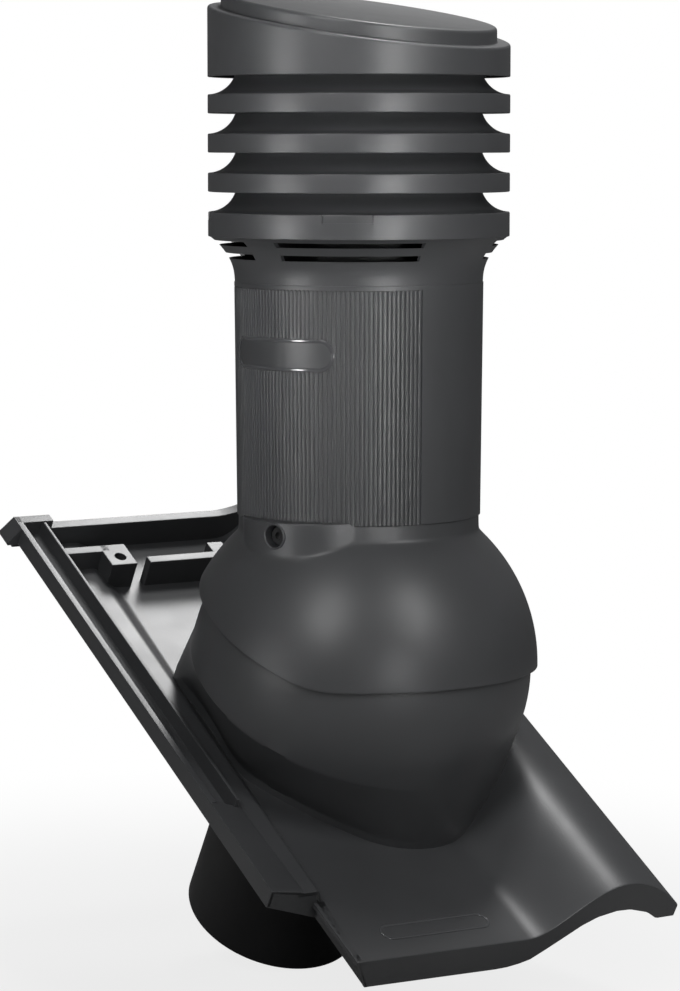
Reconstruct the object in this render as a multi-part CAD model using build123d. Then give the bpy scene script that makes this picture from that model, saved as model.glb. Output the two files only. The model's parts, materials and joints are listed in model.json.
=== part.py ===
from build123d import *
import os
from math import acos, asin, cos, degrees, radians, sin, sqrt, tan

# Roof tile vent: a plastic roof tile with a moulded ball housing, and a turret
# (swivel dome, fluted sleeve, louvred cowl) that tilts and turns on the ball.
# Millimetres. +X runs across the tile, +Y up the slope, +Z is plumb.
# The origin is the centre of the duct spigot's lower end.

# Setting of the vent
ROOF_PITCH = 30.0
TURRET_TURN = 15.5

# Clearances
SLIDE_GAP = 0.5
SEAT_GAP = 0.3

# Duct spigot, square to the tile
DUCT_D = 125.0
DUCT_WALL = 2.5
SPIGOT_REACH = 225.0
FLANGE_T = 3.0
FLANGE_MARGIN = 1.5
FLANGE_SCREWS = 4
FLANGE_HOLE_R = 2.2
FLANGE_BOSS_R = 4.5
FLANGE_BOSS_H = 6.0
PILOT_R = 1.6
SCREW_HEAD_R = 4.0
SCREW_HEAD_H = 2.4
GASKET_T = 1.5

# Ball housing of the tile, in tile axes about the tilt centre
TILE_T = 3.0
BALL_R = 115.6
BALL_SHIFT = 3.2
BALL_STRAIGHT = 14.0
BALL_BASE_R = 118.0
BALL_BASE_LEVEL = -64.0
BALL_SIDE = 84.0
BALL_ROUND = (0, 20, 40, 60, 80, 100, 120)
BALL_ROUND_FRONT = (-60, -40, -20)
BALL_DRAWN_IN = (
    (-84.0, 82.9), (-84.0, 60.0), (-84.0, 15.0), (-84.0, -30.0), (-72.6, -50.0), (-58.0, -72.0),
    (-41.0, -92.0), (-28.5, -104.5), (-14.0, -113.5), (3.0, -118.0), (24.0, -118.0))
FLOOR_LEVEL = -67.0
HOUSING_FOOT = -79.0
OPENING_LEAN = 32.5
OPENING_HALF = 52.0

# Tile outline and levels, in tile axes about the tilt centre
EAVE_Y = -216.5
HEAD_Y = 254.0
PAN_LEFT = -101.0
PAN_EAVE = (-63.6, -67.0)
PAN_HEAD = -77.5
LAP_EAVE = -53.2
LAP_HEAD = -71.7
FOLD_EAVE = (-103.5, -97.0)
FOLD_HEAD = (-86.5, -68.0)
FOLD_STEPS = 5
ROLL_STEPS = 16
ROLL_START = 33.0
ROLL_CREST = (99.0, -30.2)
ROLL_EDGE = (152.0, -56.0)
ROLL_RISE = (66.0, -48.0)
ROLL_FALL = (128.0, -38.0)
EAVE_LIP_T = 3.0
LIP_LOW = (
    (-88.2, -87.3), (20.0, -90.7), (31.0, -89.3), (41.0, -86.4), (50.8, -79.7), (61.0, -72.3),
    (74.6, -62.3), (85.3, -56.9), (99.8, -53.9), (111.9, -54.4), (128.0, -59.6), (137.7, -66.4),
    (152.0, -66.4))
SKIRT_FOOT = (-95.7, -79.0)

# Side lap: outer rail, channel, thin inner rail
RAIL_X = -137.0
RAIL_W = 4.5
RAIL_TOP = -50.0
RAIL_FOOT = -63.5
CHANNEL_FLOOR = -61.0
THIN_RAIL_X = -116.5
THIN_RAIL_W = 2.4
THIN_RAIL_TOP = -50.8
LAP_END_Y = -157.0
CHANNEL_END_Y = -68.0
LAP_JOIN_X = -115.0
RIM_START_X = -112.0
EAR_W = 9.0
EAR_L = 15.0

# Head of the tile: rim, nail boss and ribs
RIM_W = 8.0
RIM_TOP = -56.6
RIB_TOP = -55.0
RIB_W = 7.5
RIB_LEFT = (-112.0, -76.0, 212.0)
RIB_RIGHT = (-51.5, 34.0, 195.2)
BOSS = (-83.0, -62.0, 195.2, 219.5)
NAIL_HOLE = (-72.0, 204.5)
NAIL_D = 9.0
HEEL = (4.0, 17.0, 11.0)
NIB = (26.0, 9.0, 16.0)
NIB_X = 62.0
NIB_Y = 186.0

# Swivel dome, in turret axes about the tilt centre
DOME_R = 121.7
DOME_WALL = 2.4
DOME_LOW = -2.4
DOME_FLAT = 53.5
DOME_RISE = 24.7
DOME_BLEND = 90.0
COLLAR_R = 81.2
SLEEVE_SEAT = 101.8
NECK_TOP = 130.0
WEB_Z = 103.0
WEB_T = 3.0
LEDGE_Z = 109.0
LEDGE_T = 2.0
LEDGE_W = 5.0

# Screw boss on the collar
BOSS_R = 53.6
BOSS_OFFSET = 39.1
BOSS_TURN = -85.0
BOSS_TOP = 103.4
BOSS_HOLE_R = 7.3
BOSS_HOLE_Z = 94.2
BOSS_RING_W = 1.4
BOSS_RING_H = 0.7
BOSS_DEPTH = 8.0
LOCK_SCREW_D = 6.0
LOCK_HEAD_D = 11.0
LOCK_HEAD_H = 3.5
LOCK_SCREW_L = 9.0
LOCK_SOCKET_R = 2.9
LOCK_SOCKET_H = 2.2
THREAD_GAP = 0.05

# Clamp ring under the ball and the ring that keeps the turret on it
CLAMP_GAP = 0.6
CLAMP_T = 3.0
CLAMP_EDGE = 61.0
CLAMP_STEPS = 5
SHOULDER_R = 66.0
SHOULDER_T = 2.5
RETAIN_R = 70.0
RETAIN_T = 2.5

# Sleeve
SLEEVE_L = 156.7
SLEEVE_R_TOP = 83.8
SLEEVE_R_FOOT = 82.3
SLEEVE_WALL = 2.5
FLUTE_STEP = 2.1
FLUTES = 68
FLUTE_MID = -90.0
FLUTE_DEPTH = 0.55
FLUTE_WIDTH = 2.4
FLUTE_CLEAR_TOP = 3.0

# Duct inside the sleeve, which ends under the first louvre
PIPE_DROP = 5.0

# Cowl; the neck's outline is drawn for a run of NECK_SPAN and follows the real one
COWL_R = 101.2
COWL_WALL = 2.2
BAND_H = 12.6
RING_PITCH = 26.0
RINGS = 3
BASE_H = 46.5
BASE_BAND_H = 17.0
FLARE_R = 19.8
FLARE_EASE = 0.3
FLARE_STEPS = 7
FLARE_BACK_STEPS = 4
COLLAR_RISE = 16.0
COLLAR_H = 6.0
POSTS = 8
POST_GAP = 47.0
BASE_CHAMFER = 1.5
PLUG_L = 18.0
NECK_OUT = (-0.4, 0.4, 2.8, 6.5, 10.8, 15.4)
NECK_UP = (0.0, 7.5, 14.5, 20.5, 25.5, 29.5)
NECK_SPAN = (17.4, 31.0)
SLOT_TURNS = (52.5, -52.5, 130.0, -130.0)
SLOT_SPAN = 61.5
SLOT_TIERS = ((15.7, 19.5), (24.6, 27.9))
SNAP_SPAN = 18.7
SNAP_H = 5.6
SNAP_DEPTH = 1.2

# Lid
LID_LIFT = 11.6
LID_H = 35.1
LID_SLOPE = 9.8
LID_WALL = 2.4
LID_GATE_H = 4.0
DISC_R = 92.2
DISC_H = 9.7

# Worked out from the driving dimensions
DUCT_R = DUCT_D / 2
SLEEVE_TOP = SLEEVE_SEAT + SLEEVE_L
BASE_TOP = SLEEVE_TOP + BASE_H
BASE_FOOT = BASE_TOP - BASE_BAND_H + BASE_CHAMFER
PIPE_TOP = BASE_TOP - PIPE_DROP
LID_FOOT = BASE_TOP + RINGS * RING_PITCH + LID_LIFT
LID_AXIS_Z = LID_FOOT + LID_H
WEB_TOP = WEB_Z + WEB_T
DOME_CROWN = sqrt(DOME_R ** 2 - COLLAR_R ** 2)
COLLAR_INNER = COLLAR_R - DOME_WALL
FLANGE_R = BALL_SIDE - TILE_T - FLANGE_MARGIN
FLANGE_SCREW_R = (DUCT_R + FLANGE_R) / 2
FLARE_TIP_R = COWL_R - FLARE_R + FLARE_EASE
COLLAR_OUT = FLARE_TIP_R - COWL_WALL - 0.2
DOME_INNER = DOME_R - DOME_WALL
CLAMP_R = BALL_R - TILE_T - BALL_SHIFT - CLAMP_GAP
NECK_R = SLEEVE_R_FOOT - SLEEVE_WALL - SEAT_GAP - 0.2
NECK_INNER = NECK_R - DOME_WALL
TILT_CENTRE = (0, -SPIGOT_REACH * sin(radians(ROOF_PITCH)), SPIGOT_REACH * cos(radians(ROOF_PITCH)))
TILE_FRAME = Location(TILT_CENTRE, (ROOF_PITCH, 0, 0))
TURRET_FRAME = Location(TILT_CENTRE, (0, 0, TURRET_TURN))
FAR = 400.0


def tube(outer, inner, low, high):
    """Upright tube from height low to height high."""
    ring = Circle(outer) - Circle(inner)
    return extrude(Plane.XY.offset(low) * ring, high - low)


def disc(radius, low, high):
    """Upright cylinder from height low to height high."""
    return extrude(Plane.XY.offset(low) * Circle(radius), high - low)


def block(x0, x1, y0, y1, z0, z1):
    """Box between two corners."""
    return Pos((x0 + x1) / 2, (y0 + y1) / 2, (z0 + z1) / 2) * Box(x1 - x0, y1 - y0, z1 - z0)


def turned(points):
    """Solid of revolution about Z of a closed outline of (radius, height) points."""
    outline = Polyline(*[(x, 0, z) for x, z in points], close=True)
    return revolve(make_face(outline), Axis.Z)


def along_y(outline, y0, y1):
    """Extrude a closed (x, z) outline from y0 to y1."""
    face = make_face(Polyline(*[(x, y0, z) for x, z in outline], close=True))
    return extrude(face, amount=y1 - y0, dir=(0, 1, 0))


def sector(outer, inner, low, high, middle, span):
    """Piece of an upright ring, span degrees wide, middle degrees from the front (-Y)."""
    half = radians(span / 2)
    reach = outer / cos(half)
    wedge = make_face(Polyline(
        (0, 0), (-reach * sin(half), -reach * cos(half)), (0, -reach / cos(half)),
        (reach * sin(half), -reach * cos(half)), close=True))
    ring = tube(outer, inner, low, high)
    tool = extrude(Plane.XY.offset(low) * wedge, high - low)
    return ring & (Rot(0, 0, middle) * tool)


def sleeve_radius(z):
    """Outer radius of the tapered sleeve at height z."""
    share = (z - SLEEVE_SEAT) / (SLEEVE_TOP - SLEEVE_SEAT)
    return SLEEVE_R_FOOT + (SLEEVE_R_TOP - SLEEVE_R_FOOT) * share


def flange_spots():
    """Places of the flange screws round the spigot."""
    turns = [45 + 360 / FLANGE_SCREWS * k for k in range(FLANGE_SCREWS)]
    return [Rot(0, 0, turn) * Pos(FLANGE_SCREW_R, 0, 0) for turn in turns]


def between(near, far, y):
    """Value at y of what changes evenly from the eave to the head."""
    return near + (far - near) * (y - EAVE_Y) / (HEAD_Y - EAVE_Y)


def pan_level(y):
    """Level of the flat pan beside the roll, which falls a little from the eave to the head."""
    return between(PAN_EAVE[1], PAN_HEAD, y)


def pan_side(y):
    """Level of the pan at its left side, where it meets the fold."""
    return between(PAN_EAVE[0], PAN_HEAD, y)


def lap_level(y):
    """Level of the strip between the thin rail and the fold."""
    return between(LAP_EAVE, LAP_HEAD, y)


def surface(y):
    """Points (x, z) along the top of the strip, the fold, the pan and the roll at y."""
    upper, lower = between(FOLD_EAVE[0], FOLD_HEAD[0], y), between(FOLD_EAVE[1], FOLD_HEAD[1], y)
    fold = Spline((upper, 0, lap_level(y)), (lower, 0, pan_side(y)), tangents=[(1, 0, 0), (1, 0, 0)])
    roll = Spline(
        (ROLL_START, 0, pan_level(y)), (ROLL_RISE[0], 0, ROLL_RISE[1]), (ROLL_CREST[0], 0, ROLL_CREST[1]),
        (ROLL_FALL[0], 0, ROLL_FALL[1]), (ROLL_EDGE[0], 0, ROLL_EDGE[1]),
        tangents=[(1, 0, 0), (0.72, 0, -0.69)])
    points = [(LAP_JOIN_X, lap_level(y))]
    for curve, count in ((fold, FOLD_STEPS), (roll, ROLL_STEPS)):
        spots = [curve @ (k / count) for k in range(count + 1)]
        points += [(spot.X, spot.Z) for spot in spots]
    return points


def folded_sheet(y0, y1):
    """The folded pan and the roll between two stations, lofted because their levels change."""
    sections = []
    for y in (y0, y1):
        over = surface(y)
        under = [(x, z - TILE_T) for x, z in reversed(over)]
        sections.append(make_face(Polyline(*[(x, y, z) for x, z in over + under], close=True)))
    return loft(sections, ruled=True)


def strip(outlines):
    """Loft with straight edges between two (y, outline) stations."""
    sections = [
        make_face(Polyline(*[(x, y, z) for x, z in outline], close=True)) for y, outline in outlines]
    return loft(sections, ruled=True)


def side_lap():
    """Rail, water channel and thin rail along the left side, closed towards the eave."""
    outer = RAIL_X + RAIL_W
    thin = THIN_RAIL_X + THIN_RAIL_W
    deep = LAP_HEAD - TILE_T
    channel = [
        (RAIL_X, RAIL_TOP), (outer, RAIL_TOP), (outer + 3, CHANNEL_FLOOR),
        (THIN_RAIL_X - 1.5, CHANNEL_FLOOR), (THIN_RAIL_X, THIN_RAIL_TOP), (thin, THIN_RAIL_TOP),
        (thin, deep), (THIN_RAIL_X, deep), (THIN_RAIL_X - 2, RAIL_FOOT), (RAIL_X, RAIL_FOOT)]

    def closed(y):
        level = lap_level(y)
        return y, [
            (RAIL_X, RAIL_TOP), (thin, level + 1.5), (thin + 4, level), (thin + 4, level - TILE_T),
            (thin, level + 1.5 - TILE_T), (RAIL_X + TILE_T, RAIL_TOP - TILE_T),
            (RAIL_X + TILE_T, RAIL_FOOT), (RAIL_X, RAIL_FOOT)]

    y = LAP_END_Y
    end = [
        (RAIL_X, RAIL_TOP), (thin, lap_level(y) + 1.5), (thin + 4, lap_level(y)),
        (between(FOLD_EAVE[0], FOLD_HEAD[0], y), lap_level(y)), (SKIRT_FOOT[0] - 2, pan_side(y) - 1.5),
        SKIRT_FOOT, (RAIL_X, RAIL_FOOT)]
    ear = [
        (RAIL_X + 1, RAIL_TOP), (RAIL_X, RAIL_TOP), (RAIL_X - EAR_W, RAIL_TOP - EAR_W - TILE_T),
        (RAIL_X - EAR_W + 1, RAIL_FOOT - 1), (RAIL_X + 1, RAIL_FOOT)]
    parts = along_y(channel, CHANNEL_END_Y, HEAD_Y)
    parts += strip([closed(LAP_END_Y), closed(CHANNEL_END_Y + 2)])
    parts += along_y(end, LAP_END_Y, LAP_END_Y + TILE_T)
    parts += along_y(ear, HEAD_Y - EAR_L, HEAD_Y)
    parts += block(RAIL_X, THIN_RAIL_X + THIN_RAIL_W + 6, HEAD_Y - RIM_W, HEAD_Y, LAP_HEAD, RAIL_TOP)
    return parts


def eave_lip():
    """Deep lip under the eave, square to the tile, and the leaning skirt up to the side lap."""
    half = TILE_T / 2
    top = [(x, z - half) for x, z in surface(EAVE_Y) if x > PAN_LEFT + 8]
    corner = (PAN_LEFT, PAN_EAVE[0])
    outline = [corner, (PAN_LEFT + 6, PAN_EAVE[0] - half)] + top + list(reversed(LIP_LOW))
    lip = along_y(outline, EAVE_Y, EAVE_Y + EAVE_LIP_T)

    def skirt(y, left, foot):
        level = pan_side(y)
        return y, [
            (left, level), (left + 5, level), (left + 9, level - half), (left + 5, level - TILE_T),
            (left + TILE_T + 1, level - TILE_T), (foot[0] + TILE_T, foot[1]), foot]

    return lip + strip([
        skirt(EAVE_Y, PAN_LEFT, LIP_LOW[0]), skirt(LAP_END_Y + 2, PAN_LEFT + 2, SKIRT_FOOT)])


def head_details():
    """Rim along the head, nail boss, ribs and the small heel behind them."""
    base = PAN_HEAD - 1
    crest_x, crest_z = ROLL_CREST
    rim_top = Polyline(
        (RIM_START_X, 0, base), (RIM_START_X, 0, RIM_TOP), (ROLL_START - 2, 0, RIM_TOP)).edges()
    over = Spline(
        (ROLL_START - 2, 0, RIM_TOP), (ROLL_RISE[0], 0, ROLL_RISE[1] + 5), (crest_x, 0, crest_z + 3),
        (ROLL_FALL[0], 0, ROLL_FALL[1] + 3), (ROLL_EDGE[0], 0, ROLL_EDGE[1] + 3))
    under = Spline(
        (ROLL_START, 0, base), (ROLL_RISE[0], 0, ROLL_RISE[1] - 1), (crest_x, 0, crest_z - 1),
        (ROLL_FALL[0], 0, ROLL_FALL[1] - 1), (ROLL_EDGE[0], 0, ROLL_EDGE[1] - 1))
    close = [Line(over @ 1, under @ 1), Line(under @ 0, (RIM_START_X, 0, base))]
    face = make_face(rim_top + [over, under] + close)
    rim = extrude(Pos(0, HEAD_Y - RIM_W, 0) * face, amount=RIM_W, dir=(0, 1, 0))
    ribs = block(RIB_LEFT[0], RIB_LEFT[1], RIB_LEFT[2], RIB_LEFT[2] + RIB_W, base, RIB_TOP)
    ribs += block(RIB_RIGHT[0], RIB_RIGHT[1], RIB_RIGHT[2], RIB_RIGHT[2] + RIB_W, base, RIB_TOP)
    ribs += block(BOSS[0], BOSS[1], BOSS[2], BOSS[3], base, RIB_TOP)
    heel_y = RIB_RIGHT[2] + RIB_W
    ribs += block(HEEL[0], HEEL[1], heel_y, heel_y + HEEL[2], base, RIB_TOP)
    return rim + ribs


def base_outline(inset):
    """Foot of the ball housing: round, but drawn in on the side that the next tile laps."""

    def spots(turns):
        return [(BALL_BASE_R * cos(radians(a)), BALL_BASE_R * sin(radians(a))) for a in turns]

    points = spots(BALL_ROUND) + list(BALL_DRAWN_IN) + spots(BALL_ROUND_FRONT)
    reach = [sqrt(x * x + y * y) for x, y in points]
    return [(x * (r - inset) / r, y * (r - inset) / r) for (x, y), r in zip(points, reach)]


def housing(inset):
    """Ball, straight wall and drawn-in foot; inset gives the inner shape."""
    radius = BALL_R - inset
    ball = Pos(0, -BALL_SHIFT, 0) * Sphere(radius)
    ball = ball & block(-FAR, FAR, -FAR, FAR, 0, FAR)
    wall = Pos(0, -BALL_SHIFT, 0) * disc(radius, -BALL_STRAIGHT, 0)
    top = make_face(Pos(0, -BALL_SHIFT, -BALL_STRAIGHT) * Edge.make_circle(radius))
    ring = base_outline(inset)
    foot = make_face(Spline(*[(x, y, BALL_BASE_LEVEL) for x, y in ring], periodic=True))
    taper = loft([top, foot], ruled=True)
    skirt = extrude(foot, amount=HOUSING_FOOT - BALL_BASE_LEVEL, dir=(0, 0, 1))
    return ball + wall + taper + skirt


def make_tile_body():
    """The tile with its ball housing, one moulding, in tile axes."""
    sheet = folded_sheet(EAVE_Y, HEAD_Y)
    sheet -= block(-FAR, PAN_LEFT + 5, EAVE_Y - 1, LAP_END_Y, -FAR, FAR)
    tile = sheet + side_lap() + eave_lip() + head_details()
    tile += housing(0)
    tile -= housing(TILE_T)
    tile += disc(FAR, FLOOR_LEVEL - TILE_T, FLOOR_LEVEL) & housing(1)
    tile -= disc(DUCT_R + SEAT_GAP, -FAR, FLOOR_LEVEL + 1)
    lean = Rot(-OPENING_LEAN, 0, 0)
    mouth = disc(BALL_R * sin(radians(OPENING_HALF)), BALL_R * cos(radians(OPENING_HALF)) - 25, FAR)
    tile -= lean * mouth
    tile -= Pos(NAIL_HOLE[0], NAIL_HOLE[1], 0) * disc(NAIL_D / 2, -FAR, 0)
    for spot in flange_spots():
        tile += spot * disc(FLANGE_BOSS_R, FLOOR_LEVEL - 1, FLOOR_LEVEL + FLANGE_BOSS_H)
        tile -= spot * disc(PILOT_R, FLOOR_LEVEL - TILE_T - 1, FLOOR_LEVEL + FLANGE_BOSS_H - 1)
    for side in (-NIB_X, NIB_X):
        level = pan_level(NIB_Y) - TILE_T
        if side > 0:
            level = ROLL_RISE[1] - TILE_T
        tile += block(side - NIB[0] / 2, side + NIB[0] / 2, NIB_Y, NIB_Y + NIB[1],
                      pan_level(NIB_Y) - TILE_T - NIB[2], level + 1)
    return tile


def make_spigot():
    """Duct spigot with its screwed flange, in tile axes."""
    seat = FLOOR_LEVEL - TILE_T - GASKET_T
    spigot = tube(DUCT_R, DUCT_R - DUCT_WALL, -SPIGOT_REACH, FLOOR_LEVEL)
    spigot += tube(FLANGE_R, DUCT_R - 1, seat - FLANGE_T, seat)
    for spot in flange_spots():
        spigot -= spot * disc(FLANGE_HOLE_R, seat - FLANGE_T - 1, seat + 1)
    return spigot


def make_gasket():
    """Rubber ring between the flange and the floor of the housing, in tile axes."""
    seat = FLOOR_LEVEL - TILE_T - GASKET_T
    ring = tube(FLANGE_R - 1, DUCT_R + THREAD_GAP, seat, seat + GASKET_T)
    for spot in flange_spots():
        ring -= spot * disc(FLANGE_HOLE_R, seat - 1, seat + GASKET_T + 1)
    return ring


def make_spigot_screws():
    """Screws that hold the flange, one group, in tile axes."""
    seat = FLOOR_LEVEL - TILE_T - GASKET_T - FLANGE_T
    screw = disc(PILOT_R, seat, FLOOR_LEVEL + FLANGE_BOSS_H - 1)
    screw += disc(SCREW_HEAD_R, seat - SCREW_HEAD_H, seat)
    return Compound([spot * screw for spot in flange_spots()])


def make_clamp_ring():
    """Ring under the ball shell, with the neck that the turret turns on."""
    low = CLAMP_R * cos(radians(CLAMP_EDGE))
    inner = CLAMP_R - CLAMP_T
    first, last = degrees(acos((low - 1) / inner)), degrees(asin((DUCT_R - 1) / inner))
    turns = [first + (last - first) * k / CLAMP_STEPS for k in range(CLAMP_STEPS + 1)]
    hollow = [(inner * sin(radians(a)), inner * cos(radians(a))) for a in turns]
    zone = Sphere(CLAMP_R) - turned([(0, low - 1)] + hollow + [(0, hollow[-1][1])])
    zone = zone & tube(FAR, DUCT_R - DUCT_WALL, low, WEB_Z)
    start = sqrt((CLAMP_R - 1) ** 2 - DUCT_R ** 2)
    neck = tube(DUCT_R, DUCT_R - DUCT_WALL, start - 2, WEB_TOP + SEAT_GAP + RETAIN_T)
    shoulder = tube(SHOULDER_R, DUCT_R - 1, WEB_Z - SEAT_GAP - SHOULDER_T, WEB_Z - SEAT_GAP)
    return zone + neck + shoulder


def make_retaining_ring():
    """Ring above the web that keeps the turret on the neck."""
    low = WEB_TOP + SEAT_GAP
    return tube(RETAIN_R, DUCT_R + THREAD_GAP, low, low + RETAIN_T)


def dome_rim_cut():
    """Everything under the dome's rim: level in front, rising towards the back."""
    slope = tan(radians(DOME_RISE))
    start, bend = (0, -FAR, DOME_LOW), (0, -DOME_FLAT, DOME_LOW)
    stop = (0, FAR, DOME_LOW + (FAR + DOME_FLAT) * slope)
    rim = FilletPolyline(start, bend, stop, radius=DOME_BLEND)
    below = Polyline(stop, (0, FAR, -FAR), (0, -FAR, -FAR), start)
    return extrude(make_face([rim, below]), amount=FAR, dir=(1, 0, 0), both=True)


def make_swivel_dome():
    """Dome, collar, screw boss and the neck that carries the sleeve."""
    aim = Rot(0, 0, BOSS_TURN)
    dome = Sphere(DOME_R) & disc(FAR, -FAR, DOME_CROWN)
    dome -= dome_rim_cut()
    dome += disc(COLLAR_R, DOME_CROWN - 15, SLEEVE_SEAT)
    boss = aim * Pos(0, -BOSS_OFFSET, 0) * disc(BOSS_R, DOME_CROWN - 30, BOSS_TOP)
    boss -= disc(SLEEVE_R_FOOT + SEAT_GAP, SLEEVE_SEAT, FAR)
    dome += boss
    dome += disc(NECK_R, SLEEVE_SEAT - 2, NECK_TOP)
    lip_y = -(BOSS_OFFSET + BOSS_R)
    across = Plane(origin=(0, lip_y, BOSS_HOLE_Z), x_dir=(1, 0, 0), z_dir=(0, -1, 0))
    dome += aim * extrude(across.offset(-3) * Circle(BOSS_HOLE_R + BOSS_RING_W), 3 + BOSS_RING_H)
    dome -= Sphere(DOME_INNER)
    dome -= disc(COLLAR_INNER, 0, WEB_Z)
    dome -= disc(DUCT_R + SEAT_GAP, 0, FAR)
    dome -= disc(NECK_INNER, WEB_TOP, LEDGE_Z)
    dome -= disc(NECK_INNER - LEDGE_W, 0, FAR) & disc(FAR, WEB_TOP, FAR)
    dome -= disc(NECK_INNER, LEDGE_Z + LEDGE_T, FAR)
    dome -= aim * extrude(across.offset(-BOSS_DEPTH) * Circle(BOSS_HOLE_R), BOSS_DEPTH + 5)
    dome -= aim * extrude(across.offset(-BOSS_R) * Circle(LOCK_SCREW_D / 2 + THREAD_GAP), BOSS_R)
    return dome


def make_lock_screw():
    """Screw in the collar's boss, with a hexagon socket."""
    seat = BOSS_OFFSET + BOSS_R - BOSS_DEPTH
    across = Plane(origin=(0, -seat, BOSS_HOLE_Z), x_dir=(1, 0, 0), z_dir=(0, -1, 0))
    screw = extrude(across * Circle(LOCK_HEAD_D / 2), LOCK_HEAD_H)
    screw += extrude(across.offset(-LOCK_SCREW_L) * Circle(LOCK_SCREW_D / 2), LOCK_SCREW_L)
    socket = across.offset(LOCK_HEAD_H - LOCK_SOCKET_H) * RegularPolygon(LOCK_SOCKET_R, 6)
    screw -= extrude(socket, LOCK_SOCKET_H + 1)
    return Rot(0, 0, BOSS_TURN) * screw


def make_sleeve():
    """Tapered sleeve with a fluted panel round its left side."""
    outline = [
        (SLEEVE_R_FOOT - SLEEVE_WALL, SLEEVE_SEAT), (SLEEVE_R_FOOT, SLEEVE_SEAT),
        (SLEEVE_R_TOP, SLEEVE_TOP), (SLEEVE_R_TOP - SLEEVE_WALL, SLEEVE_TOP)]
    sleeve = turned(outline)
    half = FLUTE_WIDTH / 2
    high = SLEEVE_TOP - FLUTE_CLEAR_TOP
    low = SLEEVE_SEAT - 1
    grooves = []
    for k in range(FLUTES):
        sections = []
        for z in (low, high):
            radius = sleeve_radius(z)
            base, crest = -(radius - FLUTE_DEPTH), -(radius + 1)
            spread = half * (1 + 1 / FLUTE_DEPTH)
            notch = Polyline((0, base, z), (spread, crest, z), (-spread, crest, z), close=True)
            sections.append(make_face(notch))
        turn = FLUTE_MID + (k - (FLUTES - 1) / 2) * FLUTE_STEP
        grooves.append(Rot(0, 0, turn) * loft(sections, ruled=True))
    return sleeve - grooves


def make_inner_pipe():
    """Duct inside the sleeve, standing on the neck's ledge."""
    foot = LEDGE_Z + LEDGE_T
    pipe = tube(DUCT_R, DUCT_R - DUCT_WALL, foot, PIPE_TOP)
    return pipe + tube(NECK_INNER - SEAT_GAP, DUCT_R - 1, foot, foot + DUCT_WALL)


def make_insulation():
    """Foam between the duct and the sleeve."""
    inner = DUCT_R + SEAT_GAP
    outer = min(SLEEVE_R_FOOT, SLEEVE_R_TOP) - SLEEVE_WALL - SEAT_GAP
    return tube(outer, inner, NECK_TOP + SEAT_GAP, SLEEVE_TOP - PLUG_L - SEAT_GAP)


def louvre(top, foot):
    """Band from foot to top with the concave flare above it, turned about the pipe axis."""
    x, z = COWL_R + FLARE_EASE, top + FLARE_R

    def arc(radius, start, stop, steps):
        turns = [start + (stop - start) * k / steps for k in range(steps + 1)]
        return [(x - radius * sin(radians(a)), z - radius * cos(radians(a))) for a in turns]

    inner = FLARE_R + COWL_WALL
    lip = degrees(asin(FLARE_EASE / FLARE_R))
    root = degrees(asin((FLARE_EASE + COWL_WALL) / inner))
    flare = arc(FLARE_R, lip, 90, FLARE_STEPS) + arc(inner, 90, root, FLARE_BACK_STEPS)
    return turned(flare + [(COWL_R - COWL_WALL, foot), (COWL_R, foot)])


def cage(low, high, gate_low, gate_high):
    """Inner collar from low to high, open between the posts from gate_low to gate_high."""
    wall = tube(COLLAR_OUT, COLLAR_OUT - COWL_WALL, low, high)
    gate = block(-POST_GAP / 2, POST_GAP / 2, -COWL_R, -COLLAR_OUT / 2, gate_low, gate_high)
    for k in range(POSTS):
        wall -= Rot(0, 0, k * 360 / POSTS) * gate
    return wall


def collar(top, posts):
    """Collar at the tip of the flare that starts at top, with or without posts on it."""
    low, high = top + COLLAR_RISE, top + COLLAR_RISE + COLLAR_H
    tip = tube(FLARE_TIP_R, COLLAR_OUT - 1, top + FLARE_R - 1, high)
    if posts:
        return tip + cage(low, low + RING_PITCH, high, low + RING_PITCH + 1)
    return tip + tube(COLLAR_OUT, COLLAR_OUT - COWL_WALL, low, high)


def make_louvre_ring(number):
    """One louvre of the stack; the last one has no posts, because the lid brings its own."""
    top = BASE_TOP + RING_PITCH * number
    return louvre(top, top - BAND_H) + collar(top, number < RINGS)


def make_cowl_base():
    """Lowest louvre with the slotted neck that plugs into the sleeve."""
    plug = SLEEVE_R_TOP - SLEEVE_WALL - SEAT_GAP
    spread, climb = (COWL_R - SLEEVE_R_TOP) / NECK_SPAN[0], (BASE_FOOT - SLEEVE_TOP) / NECK_SPAN[1]
    rise = [(SLEEVE_R_TOP + spread * out, SLEEVE_TOP + climb * up) for out, up in zip(NECK_OUT, NECK_UP)]
    foot = (COWL_R, BASE_FOOT)
    outer = [(0, SLEEVE_TOP - PLUG_L), (plug, SLEEVE_TOP - PLUG_L), (plug, SLEEVE_TOP)]
    outer += rise + [foot, (COWL_R, BASE_TOP - 1), (0, BASE_TOP - 1)]
    bore = [(0, SLEEVE_TOP - PLUG_L - 1), (plug - COWL_WALL, SLEEVE_TOP - PLUG_L - 1),
            (plug - COWL_WALL, rise[1][1])]
    bore += [(x - COWL_WALL, z + COWL_WALL / 2) for x, z in rise[2:]]
    bore += [(COWL_R - COWL_WALL, foot[1] + COWL_WALL), (COWL_R - COWL_WALL, BASE_TOP), (0, BASE_TOP)]
    base = turned(outer) - turned(bore)
    base += louvre(BASE_TOP, foot[1] + COWL_WALL)
    base += collar(BASE_TOP, True)
    for turn in SLOT_TURNS:
        for low, high in SLOT_TIERS:
            base -= sector(COWL_R - 1, plug - COWL_WALL - 1, SLEEVE_TOP + low, SLEEVE_TOP + high, turn, SLOT_SPAN)
        base -= sector(COWL_R + 1, COWL_R - SNAP_DEPTH, BASE_TOP - SNAP_H, BASE_TOP, turn, SNAP_SPAN)
    return base


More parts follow.
